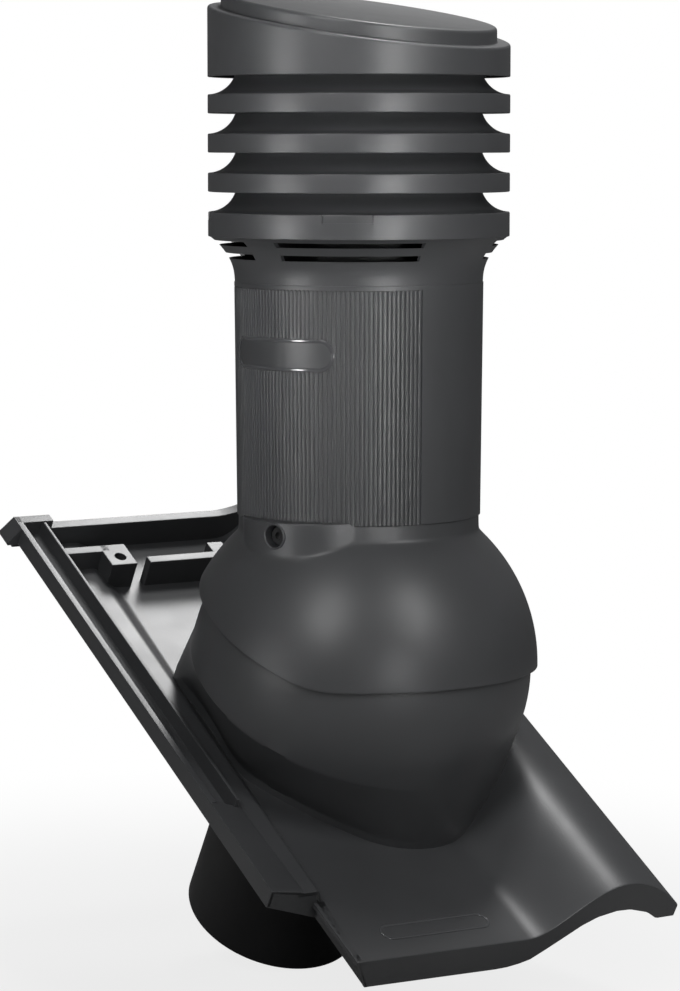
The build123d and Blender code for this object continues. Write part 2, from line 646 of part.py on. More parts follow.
def make_lid():
    """Sloping lid with its raised disc, hollow, standing on posts."""
    slope = Rot(LID_SLOPE, 0, 0)

    def under(height):
        return Pos(0, 0, height) * (slope * block(-FAR, FAR, -FAR, FAR, -FAR, 0))

    drop = LID_WALL / cos(radians(LID_SLOPE))
    outer = disc(COWL_R, LID_FOOT, FAR * 2) & under(LID_AXIS_Z)
    outer += disc(DISC_R, LID_FOOT, FAR * 2) & under(LID_AXIS_Z + DISC_H)
    inner = disc(COWL_R - LID_WALL, LID_FOOT - 1, FAR * 2) & under(LID_AXIS_Z - drop)
    inner += disc(DISC_R - LID_WALL, LID_FOOT - 1, FAR * 2) & under(LID_AXIS_Z + DISC_H - drop)
    lid = outer - inner
    low = BASE_TOP + RINGS * RING_PITCH + COLLAR_RISE + COLLAR_H
    posts = cage(low, FAR * 2, low - 1, low + LID_GATE_H)
    return lid + (posts & under(LID_AXIS_Z + DISC_H - drop + 0.5))


parts = {}


def keep(name, shape, frame):
    """Place a piece by its frame and file it under its name."""
    parts[name] = frame * shape


keep("tile_body", make_tile_body(), TILE_FRAME)
keep("duct_spigot", make_spigot(), TILE_FRAME)
keep("spigot_gasket", make_gasket(), TILE_FRAME)
keep("spigot_screws", make_spigot_screws(), TILE_FRAME)
keep("clamp_ring", make_clamp_ring(), TURRET_FRAME)
keep("retaining_ring", make_retaining_ring(), TURRET_FRAME)
keep("swivel_dome", make_swivel_dome(), TURRET_FRAME)
keep("lock_screw", make_lock_screw(), TURRET_FRAME)
keep("fluted_sleeve", make_sleeve(), TURRET_FRAME)
keep("inner_pipe", make_inner_pipe(), TURRET_FRAME)
keep("insulation", make_insulation(), TURRET_FRAME)
keep("cowl_base", make_cowl_base(), TURRET_FRAME)
for number in range(RINGS):
    keep(f"louvre_ring_{number + 1}", make_louvre_ring(number + 1), TURRET_FRAME)
keep("cowl_lid", make_lid(), TURRET_FRAME)

if __name__ == "__main__":
    os.makedirs("parts", exist_ok=True)
    for name, shape in parts.items():
        export_step(shape, f"parts/{name}.step")
        print(name, round(shape.volume), len(shape.solids()))
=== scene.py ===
"""Roof tile vent: the visible shells and their finishes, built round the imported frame.

A piece is modelled in millimetres, either in tile axes or in turret axes, which both start
at the tilt centre, and its mesh is then scaled to metres and moved into the frame.
"""

import json
import logging
import math
from dataclasses import dataclass, field
from enum import Enum
from typing import Callable, Optional, Sequence

import bmesh
import bpy
import numpy as np
from mathutils import Matrix, Vector


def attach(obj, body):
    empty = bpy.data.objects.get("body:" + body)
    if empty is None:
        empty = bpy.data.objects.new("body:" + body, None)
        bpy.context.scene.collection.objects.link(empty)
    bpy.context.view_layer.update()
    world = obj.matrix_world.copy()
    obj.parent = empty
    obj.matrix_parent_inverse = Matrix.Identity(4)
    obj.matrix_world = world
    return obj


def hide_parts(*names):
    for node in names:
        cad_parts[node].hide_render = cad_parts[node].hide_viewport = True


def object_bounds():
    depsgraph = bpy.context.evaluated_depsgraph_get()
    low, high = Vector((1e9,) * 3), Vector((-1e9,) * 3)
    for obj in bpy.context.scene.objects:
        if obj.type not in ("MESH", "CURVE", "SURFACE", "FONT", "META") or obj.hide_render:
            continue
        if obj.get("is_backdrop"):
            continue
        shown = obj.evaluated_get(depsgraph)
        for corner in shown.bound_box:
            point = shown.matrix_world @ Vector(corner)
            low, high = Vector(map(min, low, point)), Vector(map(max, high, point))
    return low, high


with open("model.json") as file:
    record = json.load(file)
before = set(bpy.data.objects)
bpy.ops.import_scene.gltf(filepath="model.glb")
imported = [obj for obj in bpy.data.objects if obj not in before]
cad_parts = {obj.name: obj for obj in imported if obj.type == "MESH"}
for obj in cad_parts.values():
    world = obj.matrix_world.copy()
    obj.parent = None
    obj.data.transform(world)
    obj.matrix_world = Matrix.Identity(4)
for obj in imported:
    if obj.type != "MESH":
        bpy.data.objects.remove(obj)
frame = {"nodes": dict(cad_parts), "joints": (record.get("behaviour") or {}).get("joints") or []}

LOG = logging.getLogger("roof_tile_vent")
MM = 0.001
Point = tuple[float, float]
Spot = tuple[float, float, float]


class Body(str, Enum):
    """Rigid bodies of the frame."""

    TILE = "tile"
    CARRIER = "tilt_carrier"
    TURRET = "turret"


class Slot(str, Enum):
    """Material slots of the record."""

    PLASTIC = "moulded_plastic"
    DUCT = "duct_plastic"
    RUBBER = "seal_rubber"
    STEEL = "screw_steel"
    FOAM = "foam"


@dataclass(frozen=True)
class Setting:
    """How the tile and the turret stand in the frame."""

    centre: Vector
    pitch: float = math.radians(30.0)
    turn: float = math.radians(15.5)

    def tile(self) -> Matrix:
        """Matrix from tile axes to the frame."""
        return Matrix.Translation(self.centre) @ Matrix.Rotation(self.pitch, 4, "X") @ Matrix.Scale(MM, 4)

    def turret(self) -> Matrix:
        """Matrix from turret axes to the frame."""
        return Matrix.Translation(self.centre) @ Matrix.Rotation(self.turn, 4, "Z") @ Matrix.Scale(MM, 4)


@dataclass(frozen=True)
class Finish:
    """A moulded or metal surface: colour with slight mottling, uneven sheen and fine grain."""

    name: str
    colour: tuple[float, float, float]
    roughness: float
    mottle: float = 0.12
    grain: float = 0.10
    grain_size: float = 0.0011
    metallic: float = 0.0
    ior: float = 1.5

    def material(self) -> bpy.types.Material:
        """Build the node material, once per name.

        Returns:
            The material with its colour, roughness and bump driven by noise.
        """
        known = bpy.data.materials.get(self.name)
        if known:
            return known
        made = bpy.data.materials.new(self.name)
        made.use_nodes = True
        nodes, links = made.node_tree.nodes, made.node_tree.links
        shader = nodes["Principled BSDF"]
        shader.inputs["Metallic"].default_value = self.metallic
        shader.inputs["IOR"].default_value = self.ior
        place = nodes.new("ShaderNodeTexCoord")

        def noise(scale: float, detail: float) -> bpy.types.Node:
            """Noise on the piece's own coordinates."""
            node = nodes.new("ShaderNodeTexNoise")
            node.inputs["Scale"].default_value = scale
            node.inputs["Detail"].default_value = detail
            links.new(place.outputs["Object"], node.inputs["Vector"])
            return node

        clouds = noise(9.0, 4.0)
        tones = nodes.new("ShaderNodeValToRGB")
        tones.color_ramp.elements[0].position = 0.3
        tones.color_ramp.elements[1].position = 0.7
        for element, lift in zip(tones.color_ramp.elements, (1 - self.mottle, 1 + self.mottle)):
            element.color = (*[min(1.0, c * lift) for c in self.colour], 1.0)
        links.new(clouds.outputs["Fac"], tones.inputs["Fac"])
        links.new(tones.outputs["Color"], shader.inputs["Base Color"])

        sheen = noise(38.0, 6.0)
        span = nodes.new("ShaderNodeMapRange")
        span.inputs["To Min"].default_value = self.roughness * 0.9
        span.inputs["To Max"].default_value = self.roughness * 1.12
        links.new(sheen.outputs["Fac"], span.inputs["Value"])
        links.new(span.outputs["Result"], shader.inputs["Roughness"])

        grain = noise(1.0 / self.grain_size, 2.0)
        bump = nodes.new("ShaderNodeBump")
        bump.inputs["Strength"].default_value = self.grain
        bump.inputs["Distance"].default_value = 0.0004
        links.new(grain.outputs["Fac"], bump.inputs["Height"])
        links.new(bump.outputs["Normal"], shader.inputs["Normal"])
        return made


ANTHRACITE = Finish("anthracite_plastic", (0.036, 0.037, 0.039), 0.42)
BADGE = Finish("smooth_badge_plastic", (0.055, 0.056, 0.059), 0.16, grain=0.02)
BLACK = Finish("black_duct_plastic", (0.006, 0.006, 0.0065), 0.55, ior=1.4)
RUBBER = Finish("matt_seal_rubber", (0.012, 0.012, 0.012), 0.75, grain=0.3)
# Screw steel made near-black: painted shade that stands in for the shade inside the screw hole.
HOLE_SHADE_STEEL = Finish("screw_steel_darkened_as_hole_shade", (0.008, 0.008, 0.0085), 0.62, metallic=0.3, mottle=0.05)
STEEL = Finish("bright_screw_steel", (0.56, 0.56, 0.57), 0.28, metallic=1.0, mottle=0.05)
FOAM = Finish("pale_foam", (0.62, 0.63, 0.60), 0.9, grain=0.6, grain_size=0.002)


def soften(outline: Sequence[tuple[float, ...]], steps: int = 4) -> list[Point]:
    """Round the corners of a closed outline.

    Args:
        outline: Corners as (x, y) or (x, y, radius).
        steps: Segments in each rounded corner.

    Returns:
        The outline's points, with an arc at each corner that has a radius.
    """
    points: list[Point] = []
    count = len(outline)
    for k, corner in enumerate(outline):
        here = Vector(corner[:2])
        radius = corner[2] if len(corner) > 2 else 0.0
        back = Vector(outline[k - 1][:2]) - here
        ahead = Vector(outline[(k + 1) % count][:2]) - here
        turn = back.angle(ahead) if radius else math.pi
        if radius <= 0 or turn > math.pi - 0.02:
            points.append((here.x, here.y))
            continue
        reach = min(radius / math.tan(turn / 2), back.length * 0.48, ahead.length * 0.48)
        start, stop = here + back.normalized() * reach, here + ahead.normalized() * reach
        for i in range(steps + 1):
            t = i / steps
            spot = start * (1 - t) ** 2 + here * (2 * t * (1 - t)) + stop * t ** 2
            points.append((spot.x, spot.y))
    return points


def turned_point(radius: float, height: float, azimuth: float) -> Spot:
    """Point on a turned shape, at an azimuth in radians from the front (-Y)."""
    return (radius * math.sin(azimuth), -radius * math.cos(azimuth), height)


def all_round(steps: int) -> np.ndarray:
    """Azimuths of equal steps round a full turn, in radians."""
    return np.radians(np.linspace(0, 360, steps, endpoint=False))


def turn_gap(one: float, other: float, full: float = 360.0) -> float:
    """Smallest turn between two azimuths, in the units of a full turn."""
    return abs((one - other + full / 2) % full - full / 2)


def clamped_curve(points: Sequence[Point], start: Point, stop: Point, steps: int) -> list[Point]:
    """Smooth curve through points, with a given direction at each end.

    Args:
        points: Points that it goes through.
        start: Direction at the first point, one long.
        stop: Direction at the last point, one long.
        steps: Steps that the whole curve is divided into.

    Returns:
        The points along the curve.
    """
    knots = np.asarray(points, float)
    chords = np.linalg.norm(np.diff(knots, axis=0), axis=1)
    count = len(knots)
    system, right = np.zeros((count, count)), np.zeros((count, 2))
    system[0, 0] = system[-1, -1] = 1.0
    right[0], right[-1] = start, stop
    for i in range(1, count - 1):
        a, b = chords[i - 1], chords[i]
        system[i, i - 1:i + 2] = (b, 2 * (a + b), a)
        right[i] = 3 * (b * (knots[i] - knots[i - 1]) / a + a * (knots[i + 1] - knots[i]) / b)
    slopes = np.linalg.solve(system, right)
    along = np.concatenate(([0.0], np.cumsum(chords)))
    found = []
    for reach in np.linspace(0, along[-1], steps + 1):
        i = min(int(np.searchsorted(along, reach, side="right")) - 1, count - 2)
        h, t = chords[i], (reach - along[i]) / chords[i]
        spot = ((2 * t ** 3 - 3 * t ** 2 + 1) * knots[i] + (t ** 3 - 2 * t ** 2 + t) * h * slopes[i]
                + (3 * t ** 2 - 2 * t ** 3) * knots[i + 1] + (t ** 3 - t ** 2) * h * slopes[i + 1])
        found.append((float(spot[0]), float(spot[1])))
    return found


def stadium(length: float, height: float, inset: float, steps: int = 20) -> list[Point]:
    """Outline of a bar with round ends, centred on the origin.

    Args:
        length: Length over both ends.
        height: Height of the bar, which is twice the radius of its ends.
        inset: How far the outline is drawn in.
        steps: Segments in each round end.

    Returns:
        The outline's points, with short steps along the straight sides.
    """
    radius = height / 2 - inset
    reach = length / 2 - height / 2
    right = [math.radians(-90 + 180 * i / steps) for i in range(steps + 1)]
    points = [(reach + radius * math.cos(a), radius * math.sin(a)) for a in right]
    count = max(2, int(2 * reach / 2.0))
    points += [(reach - 2 * reach * i / count, radius) for i in range(1, count)]
    points += [(-x, -z) for x, z in points[:steps + 1]]
    points += [(2 * reach * i / count - reach, -radius) for i in range(1, count)]
    return points


def add_object(name: str, mesh: bmesh.types.BMesh) -> bpy.types.Object:
    """Turn a mesh into an object of the scene, at the origin.

    Args:
        name: Name of the object and of its mesh.
        mesh: The mesh, which is freed.

    Returns:
        The new object.
    """
    data = bpy.data.meshes.new(name)
    mesh.to_mesh(data)
    mesh.free()
    made = bpy.data.objects.new(name, data)
    bpy.context.scene.collection.objects.link(made)
    return made


class Mould:
    """Collects closed shells, in millimetres, and turns them into a piece of the scene."""

    def __init__(self) -> None:
        """Start with an empty mesh."""
        self.mesh = bmesh.new()

    def loops(self, rings: Sequence[Sequence[Sequence[float]]], closed: bool, poles: bool = False) -> None:
        """Bridge rings of points into a closed shell.

        Args:
            rings: Rings of points, each with as many.
            closed: True if the last ring joins the first, and False for capped ends.
            poles: True if each ring is open and both its ends lie on the axis.
        """
        made = [[self.mesh.verts.new(p) for p in ring] for ring in rings]
        around = len(made[0])
        stop = len(made) if closed else len(made) - 1
        for i in range(stop):
            one, two = made[i], made[(i + 1) % len(made)]
            for j in range(around - 1 if poles else around):
                k = (j + 1) % around
                self.mesh.faces.new((one[j], one[k], two[k], two[j]))
        if not closed:
            self.mesh.faces.new(list(reversed(made[0])))
            self.mesh.faces.new(made[-1])

    def lathe(self, outline: Sequence[Point], steps: int = 240) -> None:
        """Turn a closed (radius, height) outline about Z."""
        self.turned(lambda azimuth: outline, all_round(steps))

    def turned(self, outline: Callable[[float], Sequence[Point]], turns: Sequence[float],
               poles: bool = False) -> None:
        """Turn a closed outline that may change with the azimuth.

        Args:
            outline: Gives the (radius, height) points at an azimuth in radians.
            turns: Azimuths of the rings, all the way round.
            poles: True if the outline is open, from the axis back to the axis.
        """
        self.loops([[turned_point(r, z, a) for r, z in outline(a)] for a in turns], True, poles)

    def prism(self, near: Sequence[Point], y0: float, far: Sequence[Point], y1: float,
              ease: float = 0.5) -> None:
        """Bar along Y between two outlines, with eased edges.

        Args:
            near: Outline of one end, as (x, z) points.
            y0: Where that end is.
            far: Outline of the other end, with as many points.
            y1: Where the other end is.
            ease: Width of the bevel along the edges, or 0 for none.
        """
        before = set(self.mesh.faces)
        self.loops([[(x, y0, z) for x, z in near], [(x, y1, z) for x, z in far]], False)
        fresh = [f for f in self.mesh.faces if f not in before]
        bmesh.ops.recalc_face_normals(self.mesh, faces=fresh)
        if ease <= 0:
            return
        edges = {e for f in fresh for e in f.edges if e.calc_face_angle(0.0) > math.radians(32)}
        bmesh.ops.bevel(self.mesh, geom=list(edges), offset=ease, segments=2, profile=0.5,
                        affect="EDGES", clamp_overlap=True)

    def bar(self, x0: float, x1: float, y0: float, y1: float, z0: float, z1: float,
            ease: float = 0.8) -> None:
        """Straight bar between two values of x, y and z, with eased edges."""
        outline = [(x0, z0), (x1, z0), (x1, z1), (x0, z1)]
        self.prism(outline, y0, outline, y1, ease)

    def slab(self, outer: np.ndarray, inner: np.ndarray, keep: Optional[np.ndarray] = None,
             closed: bool = True) -> None:
        """Wall between two grids of points, open where cells are left out.

        Args:
            outer: Points of the outer face, as rows by columns by 3.
            inner: Points of the inner face, in the same layout.
            keep: True for each cell that is there, or nothing for all of them.
            closed: True if the last row of points joins the first.
        """
        rows, columns = outer.shape[:2]
        skins = [[[self.mesh.verts.new(p) for p in row] for row in grid] for grid in (outer, inner)]
        cells = rows if closed else rows - 1
        if keep is None:
            keep = np.ones((cells, columns - 1), bool)

        def here(i: int, j: int) -> bool:
            """True if the cell is in the wall."""
            if closed:
                i %= cells
            return 0 <= i < cells and 0 <= j < columns - 1 and bool(keep[i, j])

        out, back = skins
        for i in range(cells):
            n = (i + 1) % rows
            for j in range(columns - 1):
                if not here(i, j):
                    continue
                self.mesh.faces.new((out[i][j], out[i][j + 1], out[n][j + 1], out[n][j]))
                self.mesh.faces.new((back[i][j], back[n][j], back[n][j + 1], back[i][j + 1]))
                sides = (((i, j), (n, j), here(i, j - 1)), ((n, j + 1), (i, j + 1), here(i, j + 1)),
                         ((i, j + 1), (i, j), here(i - 1, j)), ((n, j), (n, j + 1), here(i + 1, j)))
                for (a, b), (c, d), joined in sides:
                    if not joined:
                        self.mesh.faces.new((out[a][b], out[c][d], back[c][d], back[a][b]))
        self.mesh.verts.index_update()
        loose = [v for v in self.mesh.verts if not v.link_faces]
        bmesh.ops.delete(self.mesh, geom=loose, context="VERTS")

    def clean(self) -> None:
        """Merge doubles and point every shell outwards."""
        bmesh.ops.remove_doubles(self.mesh, verts=self.mesh.verts, dist=0.002)
        bmesh.ops.dissolve_degenerate(self.mesh, edges=self.mesh.edges, dist=0.001)
        bmesh.ops.recalc_face_normals(self.mesh, faces=self.mesh.faces)

    def cut(self, tool: "Mould") -> None:
        """Take a closed tool's volume out of this mould.

        Args:
            tool: The tool, which is used up.
        """
        pair = [mould.hand_over("cutting") for mould in (self, tool)]
        step = pair[0].modifiers.new("cut", "BOOLEAN")
        step.object, step.operation, step.solver = pair[1], "DIFFERENCE", "EXACT"
        self.mesh = bmesh.new()
        self.mesh.from_mesh(baked_mesh(pair[0]))
        for made in pair:
            bpy.data.objects.remove(made)

    def join(self, other: "Mould") -> None:
        """Add the shells of another mould.

        Args:
            other: The other mould, which is used up.
        """
        data = bpy.data.meshes.new("joined")
        other.clean()
        other.mesh.to_mesh(data)
        other.mesh.free()
        self.mesh.from_mesh(data)
        bpy.data.meshes.remove(data)

    def hand_over(self, name: str) -> bpy.types.Object:
        """Clean the shells and turn them into an object, which uses the mould up."""
        self.clean()
        return add_object(name, self.mesh)

    def piece(self, name: str, place: Matrix, finish: Finish, crease: float = 35.0) -> bpy.types.Object:
        """Make the scene's object, with its place in its mesh.

        Args:
            name: Name of the piece.
            place: Matrix from the piece's axes to the frame.
            finish: Its surface.
            crease: Angle in degrees above which an edge stays sharp.

        Returns:
            The new object, at the origin.
        """
        made = self.hand_over(name)
        made.data.transform(place)
        return dress(made, finish, crease)


class Repeater:
    """Geometry Nodes tree that repeats a piece round the turret's axis."""

    def __init__(self) -> None:
        """Build the tree with its named inputs."""
        tree = bpy.data.node_groups.new("repeat_round_axis", "GeometryNodeTree")
        face = tree.interface
        face.new_socket("Geometry", in_out="INPUT", socket_type="NodeSocketGeometry")
        face.new_socket("Count", in_out="INPUT", socket_type="NodeSocketInt")
        face.new_socket("Start", in_out="INPUT", socket_type="NodeSocketFloat")
        face.new_socket("Step", in_out="INPUT", socket_type="NodeSocketFloat")
        face.new_socket("Finish", in_out="INPUT", socket_type="NodeSocketMaterial")
        face.new_socket("Geometry", in_out="OUTPUT", socket_type="NodeSocketGeometry")
        nodes, links = tree.nodes, tree.links
        given, end = nodes.new("NodeGroupInput"), nodes.new("NodeGroupOutput")
        spots = nodes.new("GeometryNodeMeshLine")
        spots.inputs["Offset"].default_value = (0, 0, 0)
        place = nodes.new("GeometryNodeInstanceOnPoints")
        index = nodes.new("GeometryNodeInputIndex")
        turn = nodes.new("ShaderNodeMath")
        turn.operation = "MULTIPLY_ADD"
        spin = nodes.new("ShaderNodeCombineXYZ")
        real = nodes.new("GeometryNodeRealizeInstances")
        coat = nodes.new("GeometryNodeSetMaterial")
        links.new(given.outputs["Count"], spots.inputs["Count"])
        links.new(spots.outputs["Mesh"], place.inputs["Points"])
        links.new(given.outputs["Geometry"], place.inputs["Instance"])
        links.new(index.outputs["Index"], turn.inputs[0])
        links.new(given.outputs["Step"], turn.inputs[1])
        links.new(given.outputs["Start"], turn.inputs[2])
        links.new(turn.outputs[0], spin.inputs["Z"])
        links.new(spin.outputs["Vector"], place.inputs["Rotation"])
        links.new(place.outputs["Instances"], real.inputs["Geometry"])
        links.new(real.outputs["Geometry"], coat.inputs["Geometry"])
        links.new(given.outputs["Finish"], coat.inputs["Material"])
        links.new(coat.outputs["Geometry"], end.inputs["Geometry"])
        self.tree = tree

    def repeat(self, item: Mould, count: int, start: float, step: float, finish: Finish) -> Mould:
        """Repeat an item round Z.

        Args:
            item: The item, in the turret's axes.
            count: How many there are.
            start: Turn of the first, in degrees.
            step: Turn from one to the next, in degrees.
            finish: Its surface.

        Returns:
            A mould that holds all of them.
        """
        made = item.hand_over("item")
        modifier = made.modifiers.new("repeat", "NODES")
        modifier.node_group = self.tree
        values = {"Count": count, "Start": math.radians(start), "Step": math.radians(step),
                  "Finish": finish.material()}
        for socket in self.tree.interface.items_tree:
            if socket.in_out == "INPUT" and socket.name in values:
                modifier[socket.identifier] = values[socket.name]
        result = Mould()
        result.mesh.from_mesh(baked_mesh(made))
        bpy.data.objects.remove(made)
        return result


def dress(piece: bpy.types.Object, finish: Finish, crease: float) -> bpy.types.Object:
    """Give a piece its material and smooth shading with sharp creases.

    Args:
        piece: The piece.
        finish: Its surface.
        crease: Angle in degrees above which an edge stays sharp.

    Returns:
        The same piece.
    """
    data = piece.data
    data.materials.clear()
    data.materials.append(finish.material())
    data.shade_smooth()
    data.set_sharp_from_angle(angle=math.radians(crease))
    return piece


def settle(piece: bpy.types.Object, body: Body, slot: Slot, *nodes: str) -> bpy.types.Object:
    """Make a piece ride on its body, and stand for the CAD nodes named.

    Args:
        piece: The piece.
        body: Body that it rides on.
        slot: Slot of its material; not used.
        nodes: CAD nodes that it replaces, or none.

    Returns:
        The same piece.
    """
    even_normals(piece)
    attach(piece, body.value)
    if nodes:
        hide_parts(*nodes)
    LOG.info("%s: %d faces, on %s", piece.name, len(piece.data.polygons), body.value)
    return piece


def even_normals(piece: bpy.types.Object) -> None:
    """Weight the normals by face area, so that flats stay flat beside eased edges."""
    modifier = piece.modifiers.new("even", "WEIGHTED_NORMAL")
    modifier.keep_sharp = True
    baked = baked_mesh(piece)
    piece.modifiers.clear()
    piece.data = baked


def baked_mesh(piece: bpy.types.Object) -> bpy.types.Mesh:
    """Plain mesh of a piece with its modifiers applied."""
    graph = bpy.context.evaluated_depsgraph_get()
    graph.update()
    return bpy.data.meshes.new_from_object(
        piece.evaluated_get(graph), preserve_all_data_layers=True, depsgraph=graph)


def carry_over(node: str, body: Body, slot: Slot, finish: Finish, crease: float = 30.0) -> bpy.types.Object:
    """Smooth copy of a CAD node whose form is right as it is.

    Args:
        node: Name of the CAD node.
        body: Body that it rides on.
        slot: Slot of its material.
        finish: Its surface.
        crease: Angle in degrees above which an edge stays sharp.

    Returns:
        The copy, merged and smooth, which stands for the node.
    """
    mesh = bmesh.new()
    mesh.from_mesh(frame["nodes"][node].data)
    bmesh.ops.remove_doubles(mesh, verts=mesh.verts, dist=0.002 * MM)
    bmesh.ops.dissolve_degenerate(mesh, edges=mesh.edges, dist=0.002 * MM)
    piece = dress(add_object(f"{node}_skin", mesh), finish, crease)
    return settle(piece, body, slot, node)


@dataclass(frozen=True)
class Studio:
    """Camera, pale floor and soft lamps, with places in metres and angles in degrees."""

    eye: Spot = (-1.2069, -1.9834, 0.5480)
    look_down: float = 6.15
    look_right: float = 32.5
    lens: float = 120.06
    aim: Spot = (0.0, -0.11, 0.34)
    strip_aim: Spot = (0.0, -0.11, 0.62)
    fill: float = 0.17
    mirrored: float = 0.11
    floor_gap: float = 2 * MM
    floor_half: float = 30.0
    floor_tone: float = 0.3
    glow_reach: Point = (0.12, 0.75)
    glow_share: Point = (0.80, 1.0)

    def camera(self) -> None:
        """Camera where the photograph was taken from."""
        lens = bpy.data.cameras.new("camera")
        lens.lens = self.lens
        lens.sensor_width = 36.0
        eye = bpy.data.objects.new("camera", lens)
        eye.location = self.eye
        eye.rotation_euler = (math.radians(90 - self.look_down), 0.0, math.radians(-self.look_right))
        bpy.context.scene.collection.objects.link(eye)
        bpy.context.scene.camera = eye

    def floor(self) -> None:
        """Pale floor just under the spigot."""
        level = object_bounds()[0].z - self.floor_gap
        mesh = bmesh.new()
        bmesh.ops.create_grid(mesh, x_segments=1, y_segments=1, size=self.floor_half)
        made = add_object("floor", mesh)
        made.data.transform(Matrix.Translation((0, 0, level)))
        made.data.materials.append(self.white("pale_floor"))
        made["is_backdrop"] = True

    def white(self, name: str) -> bpy.types.Material:
        """Pale floor that turns into the white backdrop away from the object.

        Args:
            name: Name of the material.

        Returns:
            The material. The floor near the object keeps its soft shadow.
        """
        made = bpy.data.materials.new(name)
        made.use_nodes = True
        nodes, links = made.node_tree.nodes, made.node_tree.links
        shader = nodes["Principled BSDF"]
        shader.inputs["Base Color"].default_value = (self.floor_tone, self.floor_tone, self.floor_tone, 1)
        shader.inputs["Roughness"].default_value = 0.9
        shader.inputs["Specular IOR Level"].default_value = 0.0
        glow = nodes.new("ShaderNodeEmission")
        glow.inputs["Color"].default_value = (1, 1, 1, 1)
        glow.inputs["Strength"].default_value = 1.0
        place = nodes.new("ShaderNodeTexCoord")
        reach = nodes.new("ShaderNodeVectorMath")
        reach.operation = "LENGTH"
        share = nodes.new("ShaderNodeMapRange")
        share.interpolation_type = "SMOOTHSTEP"
        share.inputs["From Min"].default_value, share.inputs["From Max"].default_value = self.glow_reach
        share.inputs["To Min"].default_value, share.inputs["To Max"].default_value = self.glow_share
        path = nodes.new("ShaderNodeLightPath")
        seen = nodes.new("ShaderNodeMath")
        seen.operation = "MULTIPLY"
        mix = nodes.new("ShaderNodeMixShader")
        links.new(place.outputs["Object"], reach.inputs[0])
        links.new(reach.outputs["Value"], share.inputs["Value"])
        links.new(path.outputs["Is Camera Ray"], seen.inputs[0])
        links.new(share.outputs["Result"], seen.inputs[1])
        links.new(seen.outputs[0], mix.inputs["Fac"])
        links.new(shader.outputs[0], mix.inputs[1])
        links.new(glow.outputs[0], mix.inputs[2])
        links.new(mix.outputs[0], nodes["Material Output"].inputs["Surface"])
        return made

    def world(self) -> None:
        """White backdrop for the camera and through glass, a dimmer one in reflections, and a fill."""
        world = bpy.data.worlds.new("studio")
        bpy.context.scene.world = world
        world.use_nodes = True
        nodes, links = world.node_tree.nodes, world.node_tree.links
        path = nodes.new("ShaderNodeLightPath")
        shown = nodes["Background"]
        shown.inputs["Color"].default_value = (1, 1, 1, 1)
        shown.inputs["Strength"].default_value = self.fill
        for output, strength in (("Is Glossy Ray", self.mirrored), ("Is Transmission Ray", 1.0),
                                 ("Is Camera Ray", 1.0)):
            back = nodes.new("ShaderNodeBackground")
            back.inputs["Color"].default_value = (1, 1, 1, 1)
            back.inputs["Strength"].default_value = strength
            mix = nodes.new("ShaderNodeMixShader")
            links.new(path.outputs[output], mix.inputs["Fac"])
            links.new(shown.outputs[0], mix.inputs[1])
            links.new(back.outputs[0], mix.inputs[2])
            shown = mix
        links.new(shown.outputs[0], nodes["World Output"].inputs["Surface"])

    def lamp(self, name: str, place: Vector, aim: Vector, size: Point, radiance: float,
             spread: float = 180.0) -> None:
        """Soft box that faces a point of the object.

        Args:
            name: Name of the lamp.
            place: Where it stands, in metres.
            aim: Point that it faces.
            size: Width and height in metres.
            radiance: How bright its face is.
            spread: Angle of its beam in degrees.
        """
        light = bpy.data.lights.new(name, "AREA")
        light.shape = "RECTANGLE"
        light.size, light.size_y = size
        light.energy = radiance * math.pi * size[0] * size[1]
        light.spread = math.radians(spread)
        made = bpy.data.objects.new(name, light)
        made.location = place
        made.rotation_euler = (aim - place).to_track_quat("-Z", "Y").to_euler()
        bpy.context.scene.collection.objects.link(made)

    def around(self, name: str, azimuth: float, elevation: float, distance: float, size: Point,
               radiance: float) -> None:
        """Soft box at a direction and a distance from the middle of the object.

        Args:
            name: Name of the lamp.
            azimuth: Turn from the front in degrees, 90 on the right.
            elevation: Height above the horizon in degrees.
            distance: Distance from the aim in metres.
            size: Width and height in metres.
            radiance: How bright its face is.
        """
        a, e = math.radians(azimuth), math.radians(elevation)
        back = Vector((math.sin(a) * math.cos(e), -math.cos(a) * math.cos(e), math.sin(e)))
        aim = Vector(self.aim)
        self.lamp(name, aim + back * distance, aim, size, radiance)

    def lamps(self) -> None:
        """Strips that draw the long highlights, and boxes over the tile's pan and roll."""
        top = Vector(self.strip_aim)
        self.lamp("left_strip", place=Vector((-2.2, -0.15, 0.34)), aim=top,
                  size=(0.36, 0.45), radiance=1.1, spread=26.0)
        self.lamp("right_strip", place=Vector((-0.33, -2.3, 0.34)), aim=top,
                  size=(0.34, 0.45), radiance=1.5, spread=26.0)
        self.around("dome_left", azimuth=-56.0, elevation=33.0, distance=2.0, size=(0.24, 0.9), radiance=25.0)
        self.around("dome_right", azimuth=9.0, elevation=33.0, distance=2.0, size=(0.24, 0.9), radiance=24.0)
        self.lamp("head_box", place=Vector((0.45, 0.42, 1.04)), aim=Vector((-0.05, 0.06, 0.2)),
                  size=(0.36, 0.36), radiance=1.45, spread=44.0)
        self.lamp("roll_box", place=Vector((0.26, -0.06, 1.45)), aim=Vector((0.09, -0.2, 0.1)),
                  size=(0.24, 0.4), radiance=30.0)

    def build(self) -> None:
        """Set up everything that isn't the object."""
        self.camera()
        self.floor()
        self.world()
        self.lamps()
        bpy.context.scene.view_settings.view_transform = "Standard"


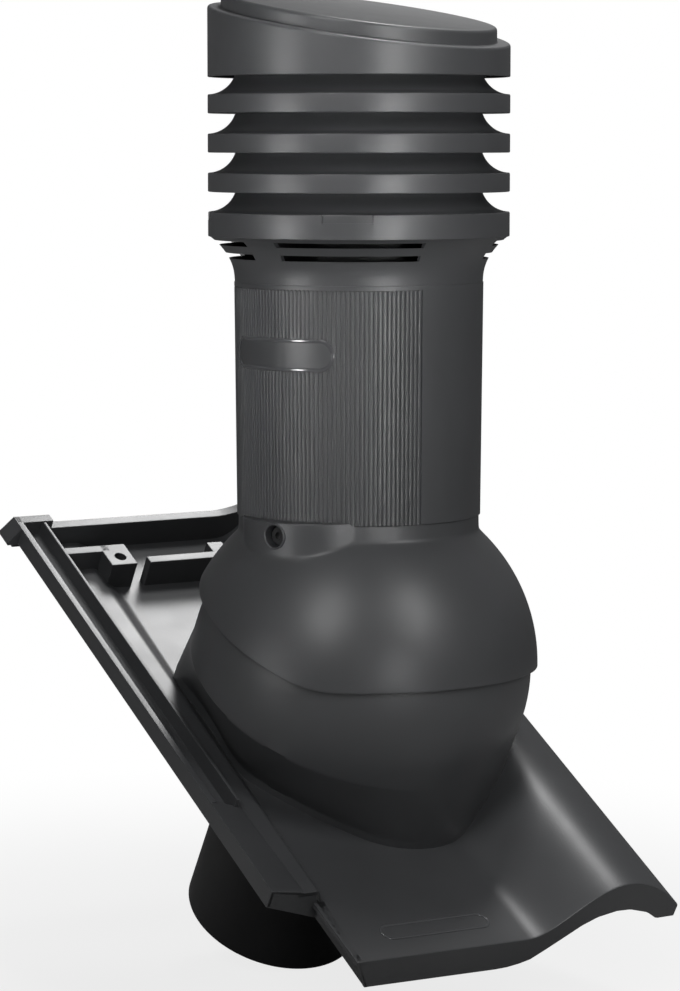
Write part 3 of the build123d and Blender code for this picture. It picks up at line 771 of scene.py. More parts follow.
@dataclass
class Cowl:
    """Louvred cowl: slotted base, stacked louvre rings and the sloping lid, in turret axes."""

    setting: Setting
    repeater: Repeater
    radius: float = 101.2
    wall: float = 2.2
    band: float = 12.6
    pitch: float = 26.0
    first_top: float = 305.0
    flare: float = 19.8
    flare_ease: float = 0.3
    collar_low: float = 16.0
    collar_high: float = 22.0
    posts: int = 8
    post_turn: float = 22.5
    post_half: float = 5.26
    neck_foot: float = 240.5
    neck_seat: float = 258.5
    plug: float = 81.0
    neck: tuple[Point, ...] = (
        (83.4, 258.5), (84.2, 266.0), (86.6, 273.0), (90.3, 279.0), (94.6, 284.0), (100.3, 288.9))
    base_foot: float = 288.6
    slot_turns: tuple[float, ...] = (52.5, -52.5, 130.0, -130.0)
    slot_span: float = 61.5
    slot_tiers: tuple[Point, ...] = ((274.2, 278.0), (283.1, 286.4))
    snap_span: float = 18.7
    snap_high: float = 5.6
    snap_deep: float = 1.2
    lid_foot: float = 394.6
    lid_level: float = 429.7
    lid_slope: float = math.radians(9.8)
    lid_wall: float = 2.4
    disc_radius: float = 92.2
    disc_high: float = 9.7
    lid_gate: float = 4.0

    def tip(self) -> float:
        """Radius at the upper end of a flare."""
        return self.radius - self.flare + self.flare_ease

    def collar_radius(self) -> float:
        """Outer radius of a collar and its posts, just inside the tip of a flare."""
        return self.tip() - self.wall - 0.2

    def wall_outline(self, top: float, foot: float, sunk: float = 0.0) -> list[Point]:
        """Closed outline of a band with the flare above it.

        Args:
            top: Height of the band's upper edge.
            foot: Height of its lower edge.
            sunk: How deep the snap recess at its upper edge is here.

        Returns:
            The (radius, height) points, with eased edges.
        """
        x, z = self.radius + self.flare_ease, top + self.flare

        def arc(radius: float, start: float, stop: float, steps: int) -> list[Point]:
            """Points along the hollow of the flare."""
            turns = np.radians(np.linspace(start, stop, steps + 1))
            return [(x - radius * math.sin(t), z - radius * math.cos(t)) for t in turns]

        full, low = self.radius, top - self.snap_high
        outer = [(full - 0.7, foot), (full - 0.2, foot + 0.2), (full, foot + 0.7), (full, low),
                 (full - sunk, low), (full - sunk, top - 0.8), (full - sunk - 0.23, top - 0.23)]
        lip = 2.4 + 3.6 * sunk
        inner = self.flare + self.wall
        root = math.degrees(math.asin((self.flare_ease + self.wall) / inner))
        outer += arc(self.flare, lip, 90, 24)
        rim = top + self.collar_high
        outer += [(self.tip(), rim - 0.4), (self.tip() - 0.4, rim), (self.tip() - self.wall, rim)]
        back = full - self.wall
        return outer + arc(inner, 90, root, 16) + [(back, foot + 0.4), (back + 0.4, foot)]

    def collar(self, mould: Mould, top: float, posts: int) -> None:
        """Inner collar at the tip of a flare, with the posts that stand on it.

        Args:
            mould: Mould that it goes into.
            top: Height of the upper edge of the flare's band.
            posts: How many posts stand on it, or 0 for none.
        """
        out, rim = self.collar_radius(), top + self.collar_high
        low = top + self.collar_low
        mould.lathe(soften([
            (out + 0.9, rim - 0.1), (out - self.wall, rim - 0.1, 0.4), (out - self.wall, low, 0.4),
            (out, low, 0.4), (out, low + 3.4), (out + 0.9, low + 4.2)], 2))
        if posts:
            self.stand(mould, rim - 1.0, top + self.pitch + self.collar_low + 1.0)

    def stand(self, mould: Mould, low: float, high: float) -> None:
        """Ring of posts, by Geometry Nodes.

        Args:
            mould: Mould that they go into.
            low: Height of their feet.
            high: Height of their tops.
        """
        out = self.collar_radius()
        post = Mould()
        turns = np.radians(self.post_turn + np.linspace(-self.post_half, self.post_half, 7))
        skins = [np.array([[turned_point(r, z, t) for z in (low, high)] for t in turns])
                 for r in (out, out - self.wall)]
        post.slab(skins[0], skins[1], closed=False)
        mould.join(self.repeater.repeat(post, self.posts, 0.0, 360.0 / self.posts, ANTHRACITE))

    def base(self) -> None:
        """Slotted neck, lowest band with its snap recesses, flare and posts."""
        mould = Mould()
        curve = clamped_curve(self.neck, (0.05, 0.999), (0.78, 0.626), 60)
        levels = [self.neck_foot, self.neck_seat - 0.01, self.neck_seat]
        levels += list(np.linspace(self.neck_seat, curve[-1][1], 34)[1:])
        levels += [z for tier in self.slot_tiers for z in tier]
        levels = sorted(set(np.round(levels, 3)))
        heights = [z for _, z in curve]
        reach = [r for r, _ in curve]
        outer = [self.plug if z < self.neck_seat else float(np.interp(z, heights, reach)) for z in levels]
        inner = [max(self.plug - self.wall, r - self.wall - 0.12 * max(0.0, z - 266.0))
                 for r, z in zip(outer, levels)]
        turns = sorted(set(np.round(np.concatenate([
            np.arange(0, 360, 1.5),
            [(t + side * self.slot_span / 2) % 360 for t in self.slot_turns for side in (-1, 1)]]), 3)))
        angles = np.radians(turns)
        skins = [np.array([[turned_point(r, z, a) for r, z in zip(radii, levels)] for a in angles])
                 for radii in (outer, inner)]
        keep = np.ones((len(turns), len(levels) - 1), bool)
        for i, turn in enumerate(turns):
            ahead = turns[(i + 1) % len(turns)] + (360 if i + 1 == len(turns) else 0)
            middle = (turn + ahead) / 2
            in_slot = any(turn_gap(middle, t) < self.slot_span / 2 for t in self.slot_turns)
            for j in range(len(levels) - 1):
                level = (levels[j] + levels[j + 1]) / 2
                if in_slot and any(low < level < high for low, high in self.slot_tiers):
                    keep[i, j] = False
        mould.slab(skins[0], skins[1], keep)

        half = self.snap_span / 2
        turns = list(np.arange(0, 360, 1.5))
        turns += [(t + side * (half + out)) % 360 for t in self.slot_turns for side in (-1, 1)
                  for out in (0.0, 0.08)]

        def band(azimuth: float) -> list[Point]:
            """Outline of the band here, sunk at a snap recess."""
            near = min(turn_gap(math.degrees(azimuth), t) for t in self.slot_turns)
            sunk = self.snap_deep if near < half + 0.04 else 0.0
            return self.wall_outline(self.first_top, self.base_foot, sunk)

        mould.turned(band, np.radians(sorted(set(np.round(turns, 3)))))
        self.collar(mould, self.first_top, self.posts)
        settle(mould.piece("cowl_base_shell", self.setting.turret(), ANTHRACITE),
               Body.TURRET, Slot.PLASTIC, "cowl_base")

    def ring(self, number: int, last: bool) -> None:
        """One louvre ring of the stack.

        Args:
            number: Its number, counted up from 1 above the base.
            last: True for the uppermost, which has no posts of its own.
        """
        mould = Mould()
        top = self.first_top + self.pitch * number
        mould.lathe(self.wall_outline(top, top - self.band))
        self.collar(mould, top, 0 if last else self.posts)
        settle(mould.piece(f"louvre_{number}", self.setting.turret(), ANTHRACITE),
               Body.TURRET, Slot.PLASTIC, f"louvre_ring_{number}")

    def lid(self, rings: int) -> None:
        """Sloping lid with its raised disc, standing on posts.

        Args:
            rings: How many louvre rings it stands on.
        """
        mould = Mould()
        slope = math.tan(self.lid_slope)
        drop = self.lid_wall / math.cos(self.lid_slope)

        def outline(azimuth: float) -> list[Point]:
            """Section of the lid here, from the axis over the top and back under it."""
            def level(radius: float, rise: float) -> float:
                """Height of the sloping plane at a radius."""
                return self.lid_level + rise - radius * math.cos(azimuth) * slope

            full, disc, foot, rise = self.radius, self.disc_radius, self.lid_foot, self.disc_high
            corners = [
                (0.0, level(0, rise)), (disc * 0.5, level(disc * 0.5, rise)),
                (disc, level(disc, rise), 2.6), (disc, level(disc, 0), 0.8),
                (full, level(full, 0), 2.2), (full, foot, 0.7), (full - self.lid_wall, foot, 0.4),
                (full - self.lid_wall, level(full, -drop)), (disc - self.lid_wall, level(disc, -drop)),
                (disc - self.lid_wall, level(disc, rise - drop)), (0.0, level(0, rise - drop))]
            return soften(corners, 5)

        mould.turned(outline, all_round(240), poles=True)
        out = self.collar_radius()
        low = self.first_top + rings * self.pitch + self.collar_high
        roof = self.lid_level + self.disc_high - drop + 0.5
        gate = low + self.lid_gate
        mould.turned(lambda a: [(out, gate), (out, roof - out * math.cos(a) * slope),
                                (out - self.wall, roof - out * math.cos(a) * slope), (out - self.wall, gate)],
                     all_round(120))
        self.stand(mould, low, gate + 1.0)
        settle(mould.piece("lid_shell", self.setting.turret(), ANTHRACITE, 32.0),
               Body.TURRET, Slot.PLASTIC, "cowl_lid")

    def build(self, rings: int = 3) -> None:
        """Make the base, the rings and the lid."""
        self.base()
        for number in range(1, rings + 1):
            self.ring(number, number == rings)
        self.lid(rings)


@dataclass
class Badge:
    """Blank bar with round ends and a smooth raised border, laid on a surface."""

    length: float
    height: float
    border: float = 2.6
    rise: float = 0.7

    def field(self, mould: Mould, lay: Callable[[float, float, float], Spot], deep: float) -> None:
        """Field inside the border.

        Args:
            mould: Mould that it goes into.
            lay: Gives the place of a point from its distance along, up and out of the surface.
            deep: How far it reaches below the surface.
        """
        rows = int(self.length / 2)
        inset = self.border * 0.5
        reach = self.length / 2 - inset
        flat = self.length / 2 - self.height / 2
        radius = self.height / 2 - inset
        skins: list[list[list[Spot]]] = [[], []]
        for i in range(rows + 1):
            along = -math.cos(math.pi * i / rows) * reach
            past = max(0.0, abs(along) - flat)
            half = max(0.05, math.sqrt(max(0.0, radius ** 2 - past ** 2)))
            for skin, high in zip(skins, (0.12, -deep)):
                skin.append([lay(along, t * half, high) for t in np.linspace(-1, 1, 7)])
        mould.slab(np.array(skins[0]), np.array(skins[1]), closed=False)

    def rim(self, mould: Mould, lay: Callable[[float, float, float], Spot]) -> None:
        """Raised border.

        Args:
            mould: Mould that it goes into.
            lay: Gives the place of a point from its distance along, up and out of the surface.
        """
        wide, high = self.border, self.rise
        section = ((0.0, -0.3), (0.0, high * 0.55), (0.35, high * 0.9), (0.8, high),
                   (wide - 0.8, high), (wide - 0.35, high * 0.9), (wide, high * 0.55), (wide, -0.3))
        tracks = [stadium(self.length, self.height, inset) for inset, _ in section]
        rings = [[lay(track[i][0], track[i][1], out) for track, (_, out) in zip(tracks, section)]
                 for i in range(len(tracks[0]))]
        mould.loops(rings, True)


@dataclass
class FlutedSleeve:
    """Tapered sleeve with a ribbed panel round its left side, and a blank badge on it."""

    setting: Setting
    repeater: Repeater
    foot: float = 101.8
    top: float = 258.5
    radius_foot: float = 82.3
    radius_top: float = 83.8
    wall: float = 2.5
    ribs: int = 68
    rib_step: float = 2.1
    rib_middle: float = -90.0
    rib_deep: float = 0.75
    rib_gauge: float = 180.0
    clear_top: float = 3.0
    badge: Badge = field(default_factory=lambda: Badge(90.0, 21.6))
    badge_level: float = 213.0

    def radius(self, height: float) -> float:
        """Outer radius of the sleeve at a height."""
        share = (height - self.foot) / (self.top - self.foot)
        return self.radius_foot + (self.radius_top - self.radius_foot) * share

    def rib(self) -> Mould:
        """One rib, with a rounded crest and a rounded upper end.

        Returns:
            A mould that holds the rib at the front of the sleeve.
        """
        half = math.radians(self.rib_step) / 2 * self.radius(self.rib_gauge)
        section = [(-half, -1.3), (-half + 0.02, -self.rib_deep), (-half + 0.22, -0.34), (-half + 0.6, -0.1),
                   (-0.45, 0.0), (0.45, 0.0), (half - 0.6, -0.1), (half - 0.22, -0.34),
                   (half - 0.02, -self.rib_deep), (half, -1.3)]
        stop = self.top - self.clear_top
        levels = ((self.foot, 0.0), (self.rib_gauge, 0.0), (stop - 1.2, 0.0), (stop - 0.4, 0.2), (stop, 0.7))
        rings = []
        for height, drop in levels:
            rings.append([(x, -(self.radius(height) + z - drop * (z > -1.2)), height) for x, z in section])
        made = Mould()
        made.loops(rings, False)
        return made

    def lay(self, along: float, up: float, high: float) -> Spot:
        """Place of a badge's point on the sleeve."""
        height = self.badge_level + up
        radius = self.radius(height)
        return turned_point(radius + high, height, math.radians(self.rib_middle) + along / radius)

    def build(self) -> None:
        """Make the sleeve with its ribs and the badge."""
        mould = Mould()
        half = math.radians(self.ribs * self.rib_step / 2)
        middle = math.radians(self.rib_middle)

        def outline(azimuth: float) -> list[Point]:
            """Section of the sleeve here, sunk under the ribs."""
            sunk = self.rib_deep if turn_gap(azimuth, middle, 2 * math.pi) < half else 0.0
            edge = self.top - self.clear_top
            low, high = self.radius(self.foot), self.radius(self.top)
            return [(low - self.wall, self.foot), (low - sunk, self.foot), (self.radius(edge) - sunk, edge),
                    (self.radius(edge), edge + 0.01), (high, self.top - 0.5), (high - 0.15, self.top - 0.15),
                    (high - 0.5, self.top), (high - self.wall, self.top)]

        turns = list(np.radians(np.arange(0, 360, 1.5))) + [
            (middle + side * (half + out)) % (2 * math.pi) for side in (-1, 1) for out in (-0.0006, 0.0006)]
        mould.turned(outline, sorted(turns))
        start = self.rib_middle - (self.ribs - 1) / 2 * self.rib_step
        mould.join(self.repeater.repeat(self.rib(), self.ribs, start, self.rib_step, ANTHRACITE))
        self.badge.field(mould, self.lay, 2.0)
        settle(mould.piece("ribbed_sleeve", self.setting.turret(), ANTHRACITE),
               Body.TURRET, Slot.PLASTIC, "fluted_sleeve")
        rim = Mould()
        self.badge.rim(rim, self.lay)
        settle(rim.piece("sleeve_badge_rim", self.setting.turret(), BADGE), Body.TURRET, Slot.PLASTIC)


@dataclass
class SwivelDome:
    """Dome that rides on the ball, with the collar, the screw boss and the neck in the sleeve."""

    setting: Setting
    radius: float = 121.7
    wall: float = 2.4
    low: float = -2.4
    rise_start: float = -73.2
    rise_end: float = -35.6
    slope: float = math.tan(math.radians(24.7))
    collar: float = 81.2
    seat: float = 101.8
    boss_radius: float = 53.6
    boss_offset: float = 39.1
    boss_turn: float = math.radians(-85.0)
    boss_top: float = 103.4
    boss_rows: Point = (82.0, 98.0)
    hole_radius: float = 7.3
    hole_level: float = 94.2
    hole_ring: float = 1.4
    hole_deep: float = 8.0
    neck: float = 79.3
    neck_top: float = 130.0
    web: float = 103.0
    ledge: Point = (109.0, 111.0)
    duct: float = 62.8

    def rim(self, y: float) -> float:
        """Height of the dome's lower edge, level in front and rising towards the back.

        Args:
            y: Distance behind the dome's axis.

        Returns:
            The height above the tilt centre.
        """
        span = self.rise_end - self.rise_start
        if y < self.rise_start:
            return self.low
        if y < self.rise_end:
            return self.low + self.slope * (y - self.rise_start) ** 2 / (2 * span)
        return self.low + self.slope * (y - self.rise_start - span / 2)

    def rim_at(self, azimuth: float) -> float:
        """Height at which the dome ends.

        Args:
            azimuth: Turn from the front in radians.

        Returns:
            The height at which its outer face meets its lower edge, found step by step.
        """
        height = self.low
        for _ in range(40):
            reach = math.sqrt(self.radius ** 2 - height ** 2)
            height += 0.5 * (self.rim(-reach * math.cos(azimuth)) - height)
        return height

    def boss_reach(self, azimuth: float) -> float:
        """How far the screw boss reaches out at an azimuth."""
        turn = azimuth - self.boss_turn
        inside = self.boss_radius ** 2 - (self.boss_offset * math.sin(turn)) ** 2
        return self.boss_offset * math.cos(turn) + math.sqrt(max(inside, 0.0))

    def row(self, azimuth: float) -> tuple[list[Spot], list[Spot]]:
        """Points of the shell at one azimuth, from the rim up.

        Args:
            azimuth: Turn from the front in radians.

        Returns:
            The points of the outer face, and those of the inner face at the same heights.
        """
        boss = self.boss_reach(azimuth)
        top = self.seat + (self.boss_top - self.seat) * min(1.0, max(0.0, (boss - self.collar) / 0.8))
        start = self.rim_at(azimuth)
        levels = [start, start + 0.15, start + 0.6]
        low, high = self.boss_rows
        levels += list(np.linspace(start + 0.6, low, 34)[1:]) + list(np.linspace(low, high, 22)[1:])
        levels += [top - 0.8, top - 0.25, top]
        count = len(levels)
        outer, inner = [], []
        for k, height in enumerate(levels):
            reach = math.sqrt(max(self.radius ** 2 - height ** 2, 1.0))
            for other, blend in ((self.collar, 1.6), (boss, 1.2)):
                reach = (reach + other + math.sqrt((reach - other) ** 2 + blend ** 2)) / 2
            eased = {0: 0.6, 1: 0.15, count - 2: 0.25, count - 1: 0.8}.get(k, 0.0)
            outer.append(turned_point(reach - eased, height, azimuth))
            back = math.sqrt(max((self.radius - self.wall) ** 2 - height ** 2, 1.0))
            inner.append(turned_point(max(back, self.collar - self.wall), height, azimuth))
        return outer, inner

    def build(self) -> None:
        """Make the shell, its screw hole with the raised ring, and the neck."""
        mould = Mould()
        rows = [self.row(a) for a in all_round(300)]
        mould.slab(np.array([r[0] for r in rows]), np.array([r[1] for r in rows]))
        out = self.boss_offset + self.boss_radius
        aim = (Matrix.Rotation(self.boss_turn, 4, "Z") @ Matrix.Translation((0, -out, self.hole_level))
               @ Matrix.Rotation(math.radians(90), 4, "X"))

        def round_tool(outline: Sequence[Point], poles: bool) -> Mould:
            """Turned shape whose axis runs out of the boss."""
            made = Mould()
            made.turned(lambda a: outline, all_round(64), poles)
            bmesh.ops.transform(made.mesh, matrix=aim, verts=made.mesh.verts)
            return made

        hole, deep = self.hole_radius, self.hole_deep
        mould.cut(round_tool([(0.0, -deep), (hole, -deep), (hole, 6.0), (0.0, 6.0)], True))
        ring = hole + self.hole_ring
        mould.join(round_tool([(hole - 0.02, -1.2), (ring, -1.6), (ring, 0.15), (ring - 0.3, 0.55),
                               (ring - 0.7, 0.7), (hole + 0.3, 0.6), (hole - 0.02, 0.25)], False))
        bore, foot = self.neck - self.wall, self.seat - 2
        mould.lathe([(self.neck, foot), (self.neck, self.neck_top), (bore, self.neck_top), (bore, foot)])
        mould.lathe([(self.collar - 1, self.web), (self.collar - 1, self.web + 1), (bore + 1, self.web + 3),
                     (self.duct, self.web + 3), (self.duct, self.web)])
        low, high = self.ledge
        mould.lathe([(bore + 1, low), (bore + 1, high), (bore - 5, high), (bore - 5, low)])
        settle(mould.piece("dome_shell", self.setting.turret(), ANTHRACITE, 30.0),
               Body.TURRET, Slot.PLASTIC, "swivel_dome")


@dataclass
class RoofTile:
    """The roof tile with its ball housing, in tile axes: x across, y up the slope."""

    setting: Setting
    thick: float = 3.0
    eave: float = -216.5
    head: float = 254.0
    left: float = -101.0
    pan_eave: Point = (-63.6, -67.0)
    pan_head: float = -77.5
    lap: Point = (-53.2, -71.7)
    fold_eave: Point = (-103.5, -97.0)
    fold_head: Point = (-86.5, -68.0)
    roll: tuple[Point, ...] = ((66.0, -48.0), (99.0, -30.2), (128.0, -38.0), (152.0, -56.0))
    roll_start: float = 33.0
    roll_end: Point = (0.722, -0.692)
    fold_points: int = 16
    lip_thick: float = 3.0
    lip_shift: float = 12.8
    lip_fade: float = 60.0
    lip_low: tuple[Point, ...] = (
        (-88.2, -87.3), (20.0, -90.7), (31.0, -89.3), (41.0, -86.4), (50.8, -79.7), (61.0, -72.3),
        (74.6, -62.3), (85.3, -56.9), (99.8, -53.9), (111.9, -54.4), (128.0, -59.6), (137.7, -66.4),
        (152.0, -66.4))
    skirt_foot: Point = (-95.7, -79.0)
    rail: float = -137.0
    rail_top: float = -50.0
    rail_foot: float = -63.5
    rail_wide: float = 4.5
    thin_rail: Point = (-116.5, -114.1)
    thin_top: float = -50.8
    channel: float = -61.0
    channel_end: float = -68.0
    lap_end: float = -157.0
    lap_join: float = -115.0
    rim_left: float = -112.0
    rim_top: float = -56.6
    rim_wide: float = 8.0
    rib_top: float = -55.0
    head_ribs: tuple[tuple[float, float, float, float], ...] = (
        (-112.0, -76.0, 212.0, 219.5), (-51.5, 34.0, 195.2, 202.7), (4.0, 17.0, 201.5, 213.7))
    nail_boss: tuple[float, float, float, float] = (-83.0, -62.0, 195.2, 219.5)
    nail_spot: Point = (-72.0, 204.5)
    nail_radius: float = 4.5
    nib_spots: tuple[Point, ...] = ((-62.0, -76.0), (62.0, -50.0))
    nib_half: float = 13.0
    nib_span: Point = (186.0, 195.0)
    nib_foot: float = -95.0
    ball: float = 115.6
    ball_shift: float = 3.2
    straight: float = 14.0
    foot_radius: float = 118.0
    foot_level: float = -64.0
    housing_foot: float = -79.0
    floor: float = -67.0
    duct: float = 62.8
    drawn_in: tuple[Point, ...] = (
        (-84.0, 82.9), (-84.0, 60.0), (-84.0, 15.0), (-84.0, -30.0), (-72.6, -50.0), (-58.0, -72.0),
        (-41.0, -92.0), (-28.5, -104.5), (-14.0, -113.5), (3.0, -118.0), (24.0, -118.0))
    opening_lean: float = math.radians(32.5)
    opening_half: float = math.radians(52.0)
    badge: Badge = field(default_factory=lambda: Badge(85.0, 14.5, 2.0, 0.6))
    badge_spot: Point = (-27.5, -193.0)

    def between(self, near: float, far: float, y: float) -> float:
        """Value at y of what changes evenly from the eave to the head."""
        return near + (far - near) * (y - self.eave) / (self.head - self.eave)

    def pan_levels(self, y: float) -> Point:
        """Heights of the pan at y, at its left side and at the roll."""
        left, right = self.pan_eave
        return self.between(left, self.pan_head, y), self.between(right, self.pan_head, y)

    def fold_edges(self, y: float) -> Point:
        """Places across the tile of the fold's upper and lower edge at y."""
        upper, lower = zip(self.fold_eave, self.fold_head)
        return self.between(*upper, y), self.between(*lower, y)

    def surface(self, y: float) -> list[Point]:
        """Section of the tile's upper face.

        Args:
            y: Place up the slope.

        Returns:
            The (x, z) points over the strip, the fold, the pan and the roll.
        """
        side, pan = self.pan_levels(y)
        strip = self.between(*self.lap, y)
        upper, lower = self.fold_edges(y)
        if y < self.lap_end:
            last = self.fold_points - 1
            points = [(self.left + (lower - self.left) * k / last, side) for k in range(self.fold_points)]
        else:
            reach = math.dist((upper, strip), (lower, side))
            points = [(self.lap_join, strip), ((self.lap_join + upper) / 2, strip), (upper - 1.0, strip)]
            curve = self.fold_points - len(points)
            for k in range(curve):
                t = k / (curve - 1)
                flat = reach * (2 * t ** 3 - 3 * t ** 2 + t)
                ease = 3 * t ** 2 - 2 * t ** 3
                points.append((upper + (lower - upper) * ease + flat, strip + (side - strip) * ease))
        for k in range(1, 14):
            points.append((lower + (self.roll_start - lower) * k / 14, side + (pan - side) * k / 14))
        return points + clamped_curve(((self.roll_start, pan),) + self.roll, (1.0, 0.0), self.roll_end, 48)

    def sheet(self) -> Mould:
        """Folded sheet with its deep lip under the eave.

        Returns:
            A mould that holds the sheet, open where the closed end of the lap begins.
        """
        stations = [self.eave + 1.2] + list(np.linspace(-205, self.lap_end - 0.02, 8))
        stations += list(np.linspace(self.lap_end, self.head, 60))
        edge = self.surface(self.eave)
        shift = [self.lip_shift * max(0.0, 1 - (x - self.left) / self.lip_fade) for x, _ in edge]
        low = [float(np.interp(x + s, *zip(*self.lip_low))) for (x, _), s in zip(edge, shift)]
        foot = [(x + s, z) for (x, _), z, s in zip(edge, low, shift)]
        back = self.eave + self.lip_thick
        over = [[(x, self.eave + deep, z + up) for x, z in foot] for deep, up in ((0.6, 0.0), (0.0, 0.6))]
        over += [[(x, self.eave + deep, z - down) for x, z in edge]
                 for deep, down in ((0.0, 1.3), (0.35, 0.35))]
        under = [[(x, back, z + up) for x, z in foot] for up in (0.0, 0.6)]
        under += [[(x, back + deep, z - self.thick - down) for x, z in edge]
                  for deep, down in ((0.0, 1.0), (0.2, 0.3))]
        lip_rows = len(over)
        for y in stations:
            points = self.surface(y)
            over.append([(x, y, z) for x, z in points])
            under.append([(x, max(y, back + 1.0), z - self.thick) for x, z in points])
        keep = np.ones((len(over) - 1, len(edge) - 1), bool)
        for i, (y, ahead) in enumerate(zip(stations, stations[1:])):
            if y <= self.lap_end - 0.01 and ahead >= self.lap_end:
                keep[lip_rows + i, :self.fold_points] = False
        made = Mould()
        made.slab(np.array(over), np.array(under), keep, closed=False)
        return made

    def foot_outline(self, inset: float, count: int) -> list[Point]:
        """Outline of the housing's foot, round apart from its drawn-in side.

        Args:
            inset: How far the outline is drawn in.
            count: How many points it has.

        Returns:
            The (x, y) points, in equal steps from +X.
        """
        def spots(turns: Sequence[float]) -> list[Point]:
            """Points of the round part."""
            angles = [math.radians(a) for a in turns]
            return [(self.foot_radius * math.cos(a), self.foot_radius * math.sin(a)) for a in angles]

        ring = []
        for x, y in spots(range(0, 121, 20)) + list(self.drawn_in) + spots((-60, -40, -20)):
            reach = math.hypot(x, y)
            ring.append((x * (reach - inset) / reach, y * (reach - inset) / reach))
        # The path runs past both ends of the ring, and is cut where it passes the ring's start
        path = ring[-3:] + ring + ring[:4]
        dense = clamped_curve(path, (0.3, 0.95), (-0.4, 0.9), 4000)
        start = min(range(1500), key=lambda i: math.dist(dense[i], ring[0]))
        stop = min(range(2500, 4001), key=lambda i: math.dist(dense[i], ring[0]))
        loop = np.array(dense[start:stop + 1])
        along = np.concatenate(([0.0], np.cumsum(np.linalg.norm(np.diff(loop, axis=0), axis=1))))
        wanted = np.linspace(0, along[-1], count, endpoint=False)
        return list(zip(np.interp(wanted, along, loop[:, 0]), np.interp(wanted, along, loop[:, 1])))

    def housing_skin(self, inset: float, low: float, count: int, solid: bool = False) -> np.ndarray:
        """Points of one face of the housing, from its foot up to the mouth.

        Args:
            inset: How far the face lies inside the outer one.
            low: Height of its lower end.
            count: How many rows of points there are round it.
            solid: True to close it over the mouth, for a tool that cuts its room free.

        Returns:
            The points, as rows by columns by 3.
        """
        radius = self.ball - inset
        foot = self.foot_outline(inset, count)
        rows = []
        for k in range(count):
            turn = 2 * math.pi * k / count
            east, north = math.cos(turn), math.sin(turn)
            fx, fy = foot[k]
            column = [(fx, fy, low), (fx, fy, self.foot_level)]
            for t in np.linspace(0, 1, 15)[1:]:
                column.append((fx + (radius * east - fx) * t,
                               fy + (radius * north - self.ball_shift - fy) * t,
                               self.foot_level + (-self.foot_level - self.straight) * t))
            a, b = math.cos(self.opening_lean), math.sin(self.opening_lean) * north
            lip = math.atan2(b, a) + math.acos(math.cos(self.opening_half) / math.hypot(a, b))
            lip = 0.02 if solid else min(lip, math.radians(89.0))
            for polar in np.linspace(math.pi / 2, lip, 26):
                reach = radius * math.sin(polar)
                column.append((reach * east, reach * north - self.ball_shift, radius * math.cos(polar)))
            rows.append(column)
        return np.array(rows)

    def housing(self, mould: Mould, count: int = 240) -> None:
        """Ball housing and the floor that the spigot is screwed to.

        Args:
            mould: Mould that they go into.
            count: Steps round the housing.
        """
        skins = [self.housing_skin(inset, self.housing_foot, count) for inset in (0, self.thick)]
        mould.slab(skins[0], skins[1])
        rim = self.foot_outline(1.5, count)
        rows = [[], []]
        for k, (x, y) in enumerate(rim):
            turn = 2 * math.pi * k / count
            hole = (self.duct * math.cos(turn), self.duct * math.sin(turn))
            for row, level in zip(rows, (self.floor, self.floor - self.thick)):
                row.append([(x, y, level), (hole[0], hole[1], level)])
        mould.slab(np.array(rows[0]), np.array(rows[1]))

    def side_lap(self, mould: Mould) -> None:
        """Rails and water channel along the left side, closed towards the eave.

        Args:
            mould: Mould that they go into.
        """
        x, wide, thin0, thin1 = self.rail, self.rail_wide, *self.thin_rail
        deep = self.lap[1] - self.thick
        channel = [(x, self.rail_top), (x + wide, self.rail_top), (x + wide + 3, self.channel),
                   (thin0 - 1.5, self.channel), (thin0, self.thin_top), (thin1, self.thin_top), (thin1, deep),
                   (thin0, deep), (thin0 - 2, self.rail_foot), (x, self.rail_foot)]
        mould.prism(channel, self.channel_end, channel, self.head, 0.6)

        def closed(y: float) -> list[Point]:
            """Section of the closed part of the lap."""
            level, thick = self.between(*self.lap, y), self.thick
            return [(x, self.rail_top), (thin1, level + 1.5), (thin1 + 4, level), (thin1 + 4, level - thick),
                    (thin1, level + 1.5 - thick), (x + thick, self.rail_top - thick),
                    (x + thick, self.rail_foot), (x, self.rail_foot)]

        stop = self.channel_end + 2
        mould.prism(closed(self.lap_end), self.lap_end, closed(stop), stop, 0.6)
        mould.bar(x - 0.15, x + 0.8, self.lap_end, self.head, self.rail_foot, self.rail_top, 0.3)
        y = self.lap_end
        level, side, upper = self.between(*self.lap, y), self.pan_levels(y)[0], self.fold_edges(y)[0]
        end = [(x, self.rail_top), (thin1, level + 1.5), (thin1 + 4, level), (upper, level),
               (self.skirt_foot[0] - 2, side - 1.5), self.skirt_foot, (x, self.rail_foot)]
        mould.prism(end, y, end, y + self.thick, 0.5)
        ear = [(x + 1, self.rail_top), (x, self.rail_top), (x - 9, self.rail_top - 12),
               (x - 8, self.rail_foot - 1), (x + 1, self.rail_foot)]
        mould.prism(ear, self.head - 15, ear, self.head, 0.8)
        mould.bar(x, thin1 + 6, self.head - self.rim_wide, self.head, self.lap[1], self.rail_top)

    def skirt(self, mould: Mould) -> None:
        """Leaning skirt between the eave's lip and the end of the lap.

        Args:
            mould: Mould that it goes into.
        """
        def section(y: float, left: float, foot: Point) -> list[Point]:
            """Section of the skirt at y."""
            level = self.pan_levels(y)[0]
            return [(left, level), (left + 7, level), (left + 7, level - self.thick),
                    (left + self.thick + 1, level - self.thick), (foot[0] + self.thick, foot[1]), foot]

        mould.prism(section(self.eave, self.left, self.lip_low[0]), self.eave,
                    section(self.lap_end + 2, self.left + 2, self.skirt_foot), self.lap_end + 2, 0.7)

    def head_details(self, mould: Mould) -> None:
        """Rim along the head, ribs, nail boss and the hanging nibs.

        Args:
            mould: Mould that they go into.
        """
        base, start = self.pan_head - 1, self.roll_start - 2

